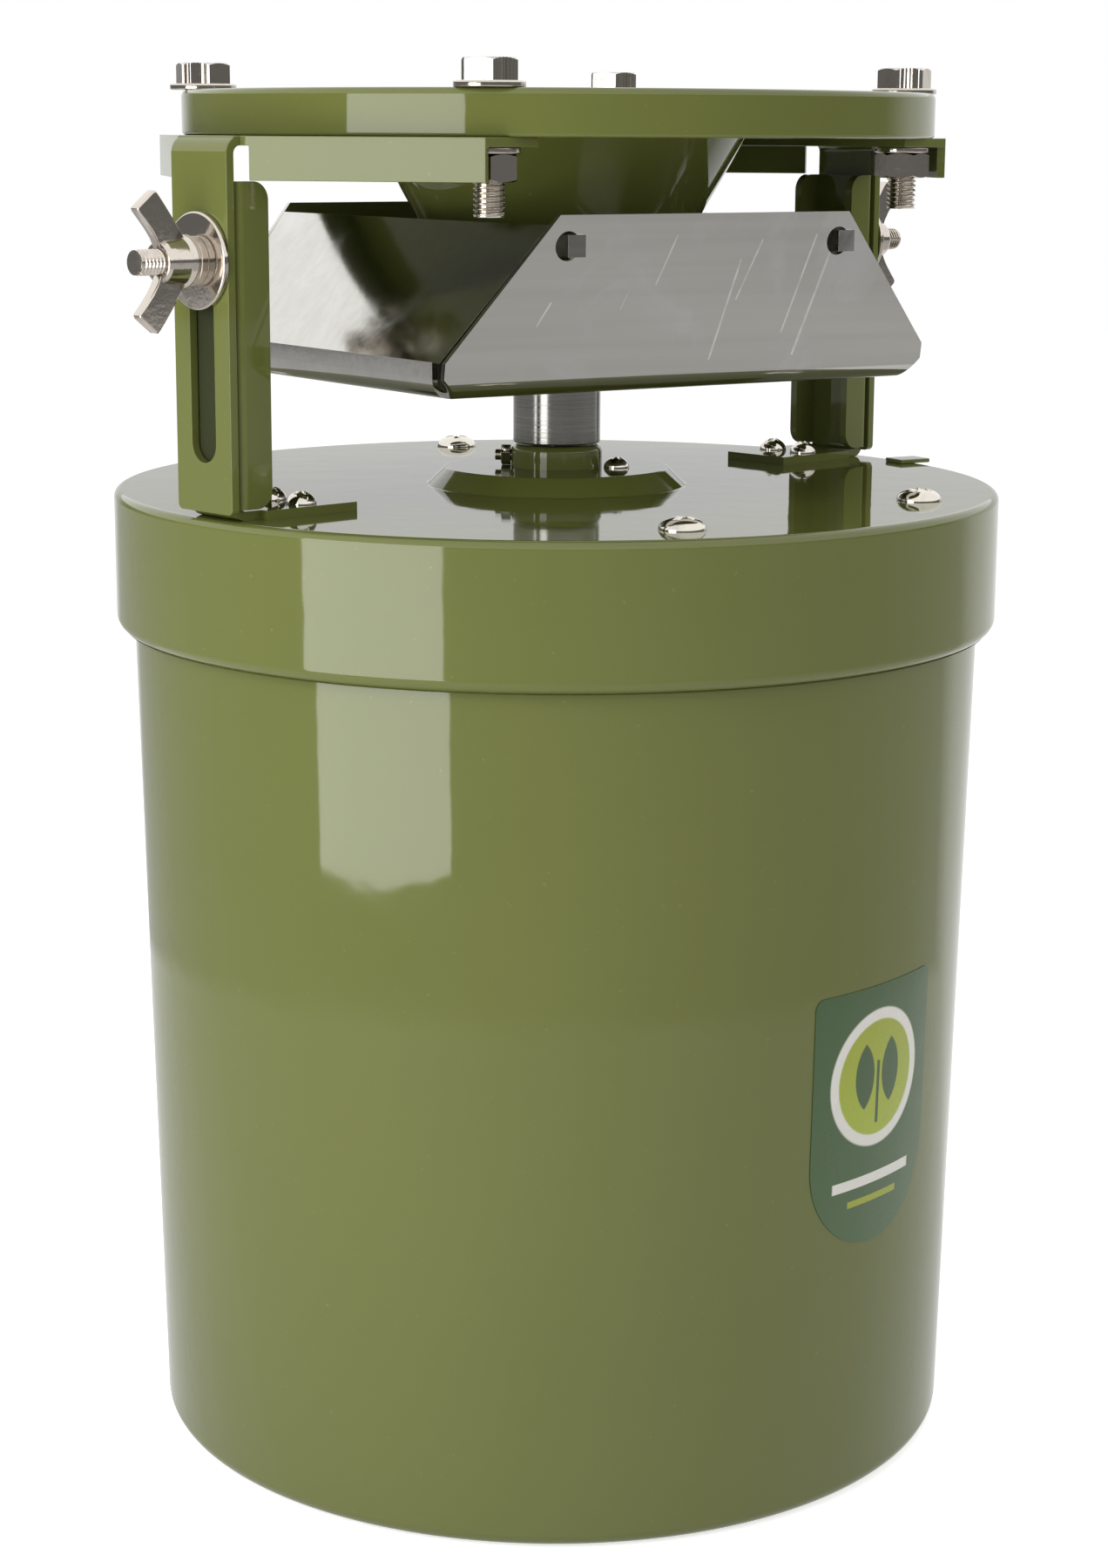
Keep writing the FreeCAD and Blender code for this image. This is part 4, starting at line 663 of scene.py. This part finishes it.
class SPREADER_PG_label(bpy.types.PropertyGroup):
    heading: FloatProperty(name="Heading", description="Direction that the label faces, in degrees from +X",
                           default=-85.5)
    low: FloatProperty(name="Lower edge", description="Height of the label's lower edge", subtype="DISTANCE",
                       default=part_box("front_label")[0].z)
    wide: FloatProperty(name="Width", description="Width of the label", subtype="DISTANCE", default=0.049)
    tall: FloatProperty(name="Height", description="Height of the label", subtype="DISTANCE",
                        default=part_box("front_label")[1].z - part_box("front_label")[0].z)
    radius: FloatProperty(name="Wall radius", description="Radius of the bucket's wall behind the label",
                          subtype="DISTANCE", default=0.1135)
    corner: FloatProperty(name="Corner radius", description="Radius of the label's corners", subtype="DISTANCE",
                          default=0.003)


class SPREADER_PG_fasteners(bpy.types.PropertyGroup):
    pitch: FloatProperty(name="Thread pitch", description="Pitch of the hanging bolts, in millimetres", default=1.25,
                         min=0.3, max=3)
    depth: FloatProperty(name="Thread depth", description="Depth of the hanging bolts' thread, in millimetres",
                         default=0.55, min=0.05, max=1)
    ribs: FloatProperty(name="Rib depth", description="Depth of the ribs on the bolt heads, in millimetres",
                        default=0.28, min=0, max=1)
    softness: FloatProperty(name="Edge softness", description="Width of softened edges on sheet metal, in millimetres",
                            default=0.4, min=0.05, max=2)


class SPREADER_PG_studio(bpy.types.PropertyGroup):
    camera_place: FloatVectorProperty(name="Camera place", description="Where the camera stands", subtype="XYZ", size=3,
                                      default=(-0.5629, -0.5928, 0.3553))
    heading: FloatProperty(name="Camera heading", description="Heading of the view, in degrees from +X", default=46.5)
    pitch: FloatProperty(name="Camera pitch", description="How far the view looks down, in degrees", default=12.33)
    roll: FloatProperty(name="Camera roll", description="Lean of the view, in degrees", default=0.29)
    lens: FloatProperty(name="Focal length", description="Focal length, in millimetres", default=97.15)
    dark_side: FloatProperty(name="Dark side", description="Brightness of the room's dark side in mirrors",
                             default=0.18)
    pale_side: FloatProperty(name="Pale side", description="Brightness of the room's pale side in mirrors",
                             default=0.85)
    window_glow: FloatProperty(name="Upper glow", description="Brightness of the room above in mirrors", default=1.35)
    table: FloatProperty(name="Table reach", description="How far the pale table reaches", subtype="DISTANCE",
                         default=0.50)
    table_glow: FloatProperty(name="Table glow", description="Brightness of the table in mirrors", default=0.72)
    floor_glow: FloatProperty(name="Floor glow", description="Brightness of the floor beyond the table in mirrors",
                              default=0.46)
    sky: FloatProperty(name="Room light", description="Strength of the light from all round", default=0.52)
    card_glow: FloatProperty(name="Soft box glow", description="Brightness of the soft box as it shows in the enamel",
                             default=4.6)


# ---------------------------------------------------------------- pieces

class SPREADER_OT_finishes(bpy.types.Operator):
    """Makes every finish"""
    bl_idname = "spreader.finishes"
    bl_label = "Finishes"

    def execute(self, context):
        FINISHES.update(make_finishes())
        return {"FINISHED"}


class SPREADER_OT_bucket(bpy.types.Operator):
    """Lathe-smooth bucket with a rounded foot and a rolled rim"""
    bl_idname = "spreader.bucket"
    bl_label = "Bucket"

    def execute(self, context):
        turned_piece("bucket", [
            (0, 0, 0), (BUCKET_FOOT, 0, 4.0), (BUCKET_TOP, RIM_LEVEL - RIM_DEEP, 0),
            (RIM_RADIUS, RIM_LEVEL - RIM_DEEP, 0.6), (RIM_RADIUS, RIM_LEVEL, 1.1),
            (BUCKET_TOP - BUCKET_WALL, RIM_LEVEL, 0.6), (BUCKET_FOOT - BUCKET_WALL, BUCKET_WALL, 2.8),
            (0, BUCKET_WALL, 0)], 224, "enamel", "bucket_shell")
        return {"FINISHED"}


class SPREADER_OT_label(bpy.types.Operator):
    """Printed film on the bucket's wall, with small corners above and a round end below"""
    bl_idname = "spreader.label"
    bl_label = "Label"

    def execute(self, context):
        told = context.scene.spreader_label
        wide, tall, corner = told.wide / MM, told.tall / MM, told.corner / MM
        low, middle = told.low / MM, math.radians(told.heading)
        bow = wide / 2
        heights = [0.15] + [bow * (1 - math.cos(math.pi / 2 * step / 20)) for step in range(2, 21)]
        heights += [bow + (tall - corner - bow) * step / 16 for step in range(1, 16)]
        heights += [tall - corner * (1 - math.sin(math.pi / 2 * step / 8)) for step in range(9)]
        half = 20                       # columns on each side of the middle
        shape = bmesh.new()
        skins = []
        for lift in (0.08, 0.24):
            rows = []
            for up in heights:
                round_in, reach = corner - (tall - up), bow
                if round_in > 0:
                    reach -= corner - math.sqrt(max(0.0, corner ** 2 - round_in ** 2))
                if up < bow:
                    reach = math.sqrt(bow ** 2 - (bow - up) ** 2)
                taper = (BUCKET_TOP - BUCKET_FOOT) / (RIM_LEVEL - RIM_DEEP)
                wall = BUCKET_FOOT + taper * (low + up) + lift
                row = []
                for step in range(-half, half + 1):
                    turn = middle + reach * (step / half) / (told.radius / MM)
                    point = Vector((wall * math.cos(turn), wall * math.sin(turn), low + up))
                    row.append(shape.verts.new(point * MM))
                rows.append(row)
            skins.append(rows)
        for rows in skins:
            for below, above in zip(rows, rows[1:]):
                for step in range(2 * half):
                    shape.faces.new((below[step], below[step + 1], above[step + 1], above[step]))
        inner, outer = skins
        for back, front in ((inner[0], outer[0]), (inner[-1], outer[-1])):
            for step in range(2 * half):
                shape.faces.new((back[step], back[step + 1], front[step + 1], front[step]))
        for level in range(len(heights) - 1):
            for side in (0, 2 * half):
                shape.faces.new((inner[level][side], inner[level + 1][side],
                                 outer[level + 1][side], outer[level][side]))
        add_piece("label", settle(shape, "label"), "label", "front_label")
        return {"FINISHED"}


class SPREADER_OT_lid(bpy.types.Operator):
    """Lathe-smooth lid with its mound, the seal's collar, and the small parts of the lid"""
    bl_idname = "spreader.lid"
    bl_label = "Lid"

    def execute(self, context):
        under, inside = LID_TOP - LID_WALL, LID_WALL / 2
        turned_piece("lid", [
            (COLLAR_BORE, MOUND_TOP, 0), (MOUND_CROWN, MOUND_TOP, 1.2), (MOUND_FOOT, LID_TOP, 1.0),
            (LID_RADIUS, LID_TOP, 2.2), (LID_RADIUS, SKIRT_LOW, 3.4), (LIP_RADIUS, SKIRT_LOW, 0.5),
            (LIP_RADIUS, SKIRT_LOW + 1.2, 0.3), (SKIRT_INSIDE, SKIRT_LOW + 3.6, 2.0), (SKIRT_INSIDE, under, 2.1),
            (MOUND_FOOT - inside, under, 0), (MOUND_CROWN - inside, MOUND_TOP - LID_WALL, 0),
            (COLLAR_BORE, MOUND_TOP - LID_WALL, 0)], 224, "enamel", "lid_shell")
        top = edge_of("shaft_collar", 1)
        turned_piece("collar", [
            (COLLAR_BORE, MOUND_TOP, 0), (COLLAR_RADIUS, MOUND_TOP, 0), (COLLAR_RADIUS, top, 1.8),
            (COLLAR_BORE, top, 0.4)], 96, "enamel", "shaft_collar")
        softened("lid_lug", "enamel", 0.3)
        softened("collar_screw", "nickel", 0.2)
        for node in ("lid_gasket", "shaft_seal"):
            painted(node)
        return {"FINISHED"}


class SPREADER_OT_brackets(bpy.types.Operator):
    """Uprights on the lid and slotted arms under the plate, with softened sheet edges"""
    bl_idname = "spreader.brackets"
    bl_label = "Brackets and arms"

    def execute(self, context):
        soft = context.scene.spreader_fasteners.softness
        for side in ("right", "left"):
            # The lower brackets get the enamel with painted shade behind the legs' slots
            softened("lower_bracket_" + side, "channel with painted shade", soft)
            softened("upper_arm_" + side, "enamel", soft)
        return {"FINISHED"}


class SPREADER_OT_plate(bpy.types.Operator):
    """Top plate and the funnel that hangs from it"""
    bl_idname = "spreader.plate"
    bl_label = "Top plate and funnel"

    def execute(self, context):
        inside, under = PLATE_RADIUS - PLATE_SHEET, PLATE_TOP - PLATE_SHEET
        turned_piece("plate", [
            (PLATE_HOLE, PLATE_TOP, 0.6), (PLATE_RADIUS, PLATE_TOP, 1.6), (PLATE_RADIUS, PLATE_LOW, 0.9),
            (inside, PLATE_LOW, 0.6), (inside, under, 0.6), (PLATE_HOLE, under, 0.6)], 224, "enamel", "top_plate")
        low, high, rim = edge_of("funnel", 0), edge_of("funnel", 1), edge_of("funnel", 1, "x")
        wall = FUNNEL_SHEET * math.sqrt(1 + FUNNEL_SLOPE ** 2)
        neck = FUNNEL_RADIUS + FUNNEL_SLOPE * (high - PLATE_LOW)
        mouth = FUNNEL_RADIUS - FUNNEL_SLOPE * (PLATE_LOW - low)
        turned_piece("funnel_cone", [
            (rim, high, 0.3), (rim, high - FUNNEL_SHEET, 0.3),
            (neck - FUNNEL_SLOPE * FUNNEL_SHEET, high - FUNNEL_SHEET, 1.0), (mouth, low, 0.4),
            (mouth - wall, low, 0.4), (neck - wall, high, 1.6)], 160, "enamel", "funnel")
        return {"FINISHED"}


class SPREADER_OT_spinner(bpy.types.Operator):
    """Folded pan with its tabs, turned hub, flange, shaft and keying screw"""
    bl_idname = "spreader.spinner"
    bl_label = "Spinner"

    def execute(self, context):
        softened("spinner_pan", "pan", 0.3)
        low, high = edge_of("spinner_hub", 0), edge_of("spinner_hub", 1)
        step = HUB_RADIUS - HUB_STEP
        turned_piece("hub", [
            (SHAFT_RADIUS, low, 0.3), (HUB_RADIUS, low, 0.5), (HUB_RADIUS, PAN_FLOOR, 0.3), (step, PAN_FLOOR, 0),
            (step, high, 0.4), (SHAFT_RADIUS, high, 0.3)], 96, "turned", "spinner_hub")
        painted("pan_flange", "turned")
        painted("motor_shaft", "shaft")
        softened("drive_screw", "nickel", 0.2)
        return {"FINISHED"}


class SPREADER_OT_plate_bolts(bpy.types.Operator):
    """Hanging bolts with ribbed heads and cut threads, their washers and their nuts"""
    bl_idname = "spreader.plate_bolts"
    bl_label = "Hanging bolts"

    def execute(self, context):
        told = context.scene.spreader_fasteners
        bolts, nuts, above, below = bmesh.new(), bmesh.new(), bmesh.new(), bmesh.new()
        seats, feet = spots_of("plate_washers_upper"), spots_of("plate_washers_lower")
        under = spots_of("plate_nuts")
        bottom, top = edge_of("plate_bolts", 0), edge_of("plate_bolts", 1)
        turns = (24, 96, -8, 20)        # how far each head happens to be turned, in degrees
        for number, (low, high) in enumerate(seats):
            middle = (low + high) / 2
            move = Matrix.Translation(Vector((middle.x, middle.y, 0)) * MM)
            head_turn, nut_turn = (move @ Matrix.Rotation(math.radians(turn), 4, "Z")
                                   for turn in (turns[number], turns[-1 - number]))
            washer(above, BOLT_HOLE, UPPER_WASHER, low.z, high.z, (0, 0.35, 0.5, 0), 56, move)
            stack(bolts, hex_rows(BOLT_FLATS, high.z, top, False, True, told.ribs), head_turn)
            foot_low, foot_high = (corner.z for corner in feet[number])
            washer(below, BOLT_HOLE, LOWER_WASHER, foot_low, foot_high, (0, 0.4, 0.4, 0), 56, move)
            nut_low, nut_high = (corner.z for corner in under[number])
            stack(nuts, hex_rows(BOLT_FLATS, nut_low, nut_high, True, True), nut_turn)
            stack(bolts, thread_rows(BOLT_RADIUS, bottom, nut_low + 1.5, told.pitch, told.depth), move)
            stack(bolts, [ring(BOLT_CORE, nut_low + 1.4), ring(BOLT_CORE, high.z + 0.4)], move)
        for name, shape, node in (("plate_bolts_cut", bolts, "plate_bolts"), ("plate_nuts_cut", nuts, "plate_nuts"),
                                  ("washers_above", above, "plate_washers_upper"),
                                  ("washers_below", below, "plate_washers_lower")):
            add_piece(name, settle(shape, name, 30.0), "bright", node)
        return {"FINISHED"}


class SPREADER_OT_wing_sets(bpy.types.Operator):
    """Wing nuts with square-ended wings, their threaded bolts, spring washers and wide washers"""
    bl_idname = "spreader.wing_sets"
    bl_label = "Wing nuts"

    def execute(self, context):
        upright = Matrix(((0, 1, 0, 0), (0, 0, 1, 0), (1, 0, 0, 0), (0, 0, 0, 1)))
        for side, flip in (("right", 1), ("left", -1)):
            level = (edge_of("wing_nut_" + side, 0) + edge_of("wing_nut_" + side, 1)) / 2
            near, _ = self.reach("wing_nut_" + side, flip)
            aside = Matrix.Rotation(math.radians(90 * flip), 4, "Y")
            out = Matrix.Translation(Vector((near * flip, 0, level)) * MM) @ aside
            nut = bmesh.new()
            spin(nut, round_corners([(3.25, 0, 0.3), (6.4, 0, 0.5), (6.4, 1.6, 0.8), (5.7, 2.6, 0.6), (5.3, 8.0, 0.8),
                                     (4.9, 9.0, 0.7), (3.25, 9.0, 0.3)], 4), 64, out)
            for half_turn in (0, 180):
                flat = out @ Matrix.Rotation(math.radians(half_turn), 4, "Z") @ upright
                outline_solid(nut, WING_OUTLINE, 1.6, flat, 0.55)
            add_piece("wing_nut_shaped_" + side, settle(nut, "wing_nut", 40.0), "bright", "wing_nut_" + side)
            head, end = self.reach("wing_bolt_" + side, flip)
            base = Matrix.Translation(Vector((0, 0, level)) * MM) @ aside
            bolt = bmesh.new()
            stack(bolt, hex_rows(WING_BOLT_FLATS, head, head + 4.4, True, False), base)
            stack(bolt, [ring(WING_BOLT_CORE, head + 4.2), ring(WING_BOLT_CORE, near + 7.2)], base)
            stack(bolt, thread_rows(WING_BOLT_RADIUS, near + 7.0, end, WING_BOLT_PITCH, WING_BOLT_THREAD), base)
            add_piece("wing_bolt_cut_" + side, settle(bolt, "wing_bolt", 30.0), "bright", "wing_bolt_" + side)
            start, _ = self.reach("wing_washer_" + side, flip)
            wide = bmesh.new()
            washer(wide, 3.3, WIDE_WASHER, start, start + WIDE_WASHER_TALL, (0, 0.4, 0.6, 0.2), 80, base)
            add_piece("wide_washer_" + side, settle(wide, "wide_washer"), "bright", "wing_washer_" + side)
            softened("spring_washer_" + side, "bright", 0.2)
        return {"FINISHED"}

    @staticmethod
    def reach(node, flip):
        """How far from the upright axis a node on one side starts and ends, in millimetres."""
        return sorted(edge_of(node, end, "x") * flip for end in (0, 1))


class SPREADER_OT_screws(bpy.types.Operator):
    """Domed cross-slot screws on the lid, on the mound and in the brackets' feet"""
    bl_idname = "spreader.screws"
    bl_label = "Small screws"

    def execute(self, context):
        for number, (node, radius, rise, brim) in enumerate(DOMED_SCREWS):
            shape = bmesh.new()
            for count, (low, high) in enumerate(spots_of(node)):
                middle = (low + high) / 2
                seat = high.z - rise
                place = Matrix.Translation(Vector((middle.x, middle.y, seat)) * MM)
                turn = Matrix.Rotation(math.radians(17 + 41 * count + 23 * number), 4, "Z")
                self.cross_head(shape, radius, rise, brim, place @ turn)
                shank = low.z - seat
                spin(shape, [(0, shank), (1.9, shank), (1.9, 0.1), (0, 0.1)], 24, place)
            add_piece(node + "_cut", settle(shape, node, 38.0), "nickel", node)
        return {"FINISHED"}

    @staticmethod
    def cross_head(shape, radius, rise, brim, move, around=96, rings=26):
        """Adds a domed head with a cross recess pressed into its crown."""
        rows = [ring(radius, 0.0, around)]
        arm, slot, deep = radius * 0.50, radius * 0.13, rise * 0.45
        for tier in range(rings):
            share = tier / rings
            reach = radius * math.cos(share * math.pi / 2) ** brim
            row = []
            for step in range(around):
                turn = math.tau * step / around
                across, along = reach * math.cos(turn), reach * math.sin(turn)
                up = rise * (0.04 + 0.96 * math.sin(share * math.pi / 2))
                off = min(max(abs(across), abs(along) * arm / slot), max(abs(along), abs(across) * arm / slot)) / arm
                up -= deep * min(1.0, max(0.0, (1.12 - off) / 0.24)) * (1 - 0.5 * reach / radius)
                row.append((across, along, up))
            rows.append(row)
        stack(shape, rows, move)


class SPREADER_OT_drive(bpy.types.Operator):
    """Everything inside: motor, gearbox, deck, control box and battery"""
    bl_idname = "spreader.drive"
    bl_label = "Drive"

    def execute(self, context):
        for node in ("drive_deck", "gearbox", "motor_can", "timer_case", "timer_face", "timer_display", "timer_board",
                     "board_pillars", "power_switch", "battery_tray", "battery_strap", "battery_terminals"):
            softened(node, PLAIN_FINISH[SLOT_OF[node]], 0.25)
        softened("battery", "black", 2.0)
        for number in range(1, 5):
            softened("timer_button_%d" % number, "grey", 0.3)
        for node in ("deck_spacers", "lid_screw_nuts", "motor_screws"):
            softened(node, "bright", 0.2)
        return {"FINISHED"}


# ---------------------------------------------------------------- studio

class SPREADER_OT_stage(bpy.types.Operator):
    """Pale floor, soft light and the camera"""
    bl_idname = "spreader.stage"
    bl_label = "Studio"

    def execute(self, context):
        told = context.scene.spreader_studio
        self.room(context, told)
        self.floor(told)
        self.soft_boxes(told)
        self.camera(context, told)
        context.scene.view_settings.view_transform = "Standard"
        return {"FINISHED"}

    def room(self, context, told):
        world = bpy.data.worlds.new("room")
        context.scene.world = world
        world.use_nodes = True
        tree = world.node_tree
        back = tree.nodes["Background"]
        back.inputs["Color"].default_value = (1, 1, 1, 1)
        side = use(tree, "Dark side of the room", {"Direction": put(tree, "TexCoord").outputs["Generated"]})
        wall = ramp(tree, side["Behind"], 0.0, 1.0, told.dark_side, told.pale_side)
        mirror = sums(tree, "MAXIMUM", wall, sums(tree, "MULTIPLY", side["Above"], told.window_glow))
        path = put(tree, "LightPath").outputs
        near = blend(tree, path["Is Glossy Ray"], told.sky, mirror)
        straight = sums(tree, "MAXIMUM", path["Is Camera Ray"], path["Is Transmission Ray"])
        tree.links.new(blend(tree, straight, near, 1.0), back.inputs["Strength"])

    def floor(self, told):
        made, tree, shader, place = finish("studio_floor", Roughness=0.9)
        shader.inputs["Specular IOR Level"].default_value = 0.0
        shader.inputs["Emission Color"].default_value = (1, 1, 1, 1)
        path = put(tree, "LightPath").outputs
        side = use(tree, "Dark side of the room", {"Direction": place})["Behind"]
        table = ramp(tree, vectors(tree, "LENGTH", place, out=1), told.table, told.table + 0.03,
                     told.table_glow, told.floor_glow)
        shown = sums(tree, "MAXIMUM", table, sums(tree, "MULTIPLY", side, told.pale_side))
        straight = sums(tree, "MAXIMUM", path["Is Camera Ray"], path["Is Transmission Ray"])
        mirror = sums(tree, "MULTIPLY", path["Is Glossy Ray"], shown)
        white = sums(tree, "MULTIPLY", blend(tree, path["Is Glossy Ray"], 1.0, FLOOR_IN_MIRRORS), FLOOR_WHITE)
        tree.links.new(put(tree, "CombineColor", {0: white, 1: white, 2: white}).outputs[0],
                       shader.inputs["Base Color"])
        tree.links.new(sums(tree, "ADD", sums(tree, "MULTIPLY", straight, FLOOR_GLOW), mirror),
                       shader.inputs["Emission Strength"])
        shape = bmesh.new()
        bmesh.ops.create_grid(shape, x_segments=1, y_segments=1, size=4.0)
        mesh = bpy.data.meshes.new("studio_floor")
        shape.to_mesh(mesh)
        shape.free()
        thing = bpy.data.objects.new("studio_floor", mesh)
        bpy.context.scene.collection.objects.link(thing)
        thing.location.z = -0.0005
        mesh.materials.append(made)

    @staticmethod
    def lamp(name, place, aim, wide, tall, glow, shown=True):
        """Rectangular lamp whose face is as bright as glow, where 1 is white."""
        data = bpy.data.lights.new(name, "AREA")
        data.shape = "RECTANGLE"
        data.size, data.size_y = wide, tall
        data.energy = glow * math.pi * wide * tall
        thing = bpy.data.objects.new(name, data)
        bpy.context.scene.collection.objects.link(thing)
        thing.location = place
        facing = (Vector(place) - Vector(aim)).normalized()
        thing.rotation_euler = facing.to_track_quat("Z", "Y").to_euler()
        thing.visible_glossy = shown
        thing.visible_camera = False

    def soft_boxes(self, told):
        """One soft box in two halves, of which mirrors show the lower, and three fills that no mirror shows."""
        for name, level, tall, shown in (("soft_box", 0.22, 0.36, True), ("soft_box_above", 0.55, 0.30, False)):
            self.lamp(name, (*SOFT_BOX_PLACE, level), (-0.02, -0.02, level), wide=0.345, tall=tall,
                      glow=told.card_glow, shown=shown)
        for name, place, aim, wide, tall, glow in (("top_light", (0.10, 0.05, 1.5), (0, 0, 0.2), 1.2, 1.2, 0.9),
                                                   ("front_fill", (-0.2, -1.4, 0.6), (0, 0, 0.15), 1.2, 1.0, 0.8),
                                                   ("right_fill", (0.85, -0.85, 0.45), (0, 0, 0.25), 0.8, 0.8, 1.5)):
            self.lamp(name, place, aim, wide, tall, glow, shown=False)

    @staticmethod
    def camera(context, told):
        data = bpy.data.cameras.new("camera")
        data.sensor_fit = "HORIZONTAL"
        data.sensor_width = 36.0
        data.lens = told.lens
        data.clip_start = 0.01
        thing = bpy.data.objects.new("camera", data)
        context.scene.collection.objects.link(thing)
        heading, pitch, roll = (math.radians(value) for value in (told.heading, told.pitch, told.roll))
        ahead = Vector((math.cos(heading) * math.cos(pitch), math.sin(heading) * math.cos(pitch), -math.sin(pitch)))
        thing.rotation_euler = (ahead.to_track_quat("-Z", "Y").to_matrix() @ Matrix.Rotation(roll, 3, "Z")).to_euler()
        thing.location = told.camera_place
        context.scene.camera = thing


class SPREADER_PT_panel(bpy.types.Panel):
    """The spreader's pieces and settings"""
    bl_idname = "SPREADER_PT_panel"
    bl_label = "Feed spreader"
    bl_space_type = "VIEW_3D"
    bl_region_type = "UI"
    bl_category = "Spreader"

    def draw(self, context):
        for operator in PIECES:
            self.layout.operator(operator.bl_idname)
        for group in ("spreader_enamel", "spreader_label", "spreader_fasteners", "spreader_studio"):
            held = self.layout.box()
            settings = getattr(context.scene, group)
            for key in settings.__annotations__:
                held.prop(settings, key)


GROUPS = {"spreader_enamel": SPREADER_PG_enamel, "spreader_label": SPREADER_PG_label,
          "spreader_fasteners": SPREADER_PG_fasteners, "spreader_studio": SPREADER_PG_studio}
PIECES = (SPREADER_OT_finishes, SPREADER_OT_stage, SPREADER_OT_bucket, SPREADER_OT_label, SPREADER_OT_lid,
          SPREADER_OT_brackets, SPREADER_OT_plate, SPREADER_OT_spinner, SPREADER_OT_plate_bolts, SPREADER_OT_wing_sets,
          SPREADER_OT_screws, SPREADER_OT_drive)


def register():
    for group in GROUPS.values():
        bpy.utils.register_class(group)
    for operator in (*PIECES, SPREADER_PT_panel):
        bpy.utils.register_class(operator)
    for name, group in GROUPS.items():
        setattr(bpy.types.Scene, name, PointerProperty(type=group))


def unregister():
    for name in GROUPS:
        delattr(bpy.types.Scene, name)
    for operator in (SPREADER_PT_panel, *reversed(PIECES)):
        bpy.utils.unregister_class(operator)
    for group in GROUPS.values():
        bpy.utils.unregister_class(group)


def main():
    register()
    bpy.ops.spreader.finishes()
    bpy.ops.spreader.stage()
    bpy.ops.spreader.bucket()
    bpy.ops.spreader.label()
    bpy.ops.spreader.lid()
    bpy.ops.spreader.brackets()
    bpy.ops.spreader.plate()
    bpy.ops.spreader.spinner()
    bpy.ops.spreader.plate_bolts()
    bpy.ops.spreader.wing_sets()
    bpy.ops.spreader.screws()
    bpy.ops.spreader.drive()


if __name__ == "__main__":
    main()
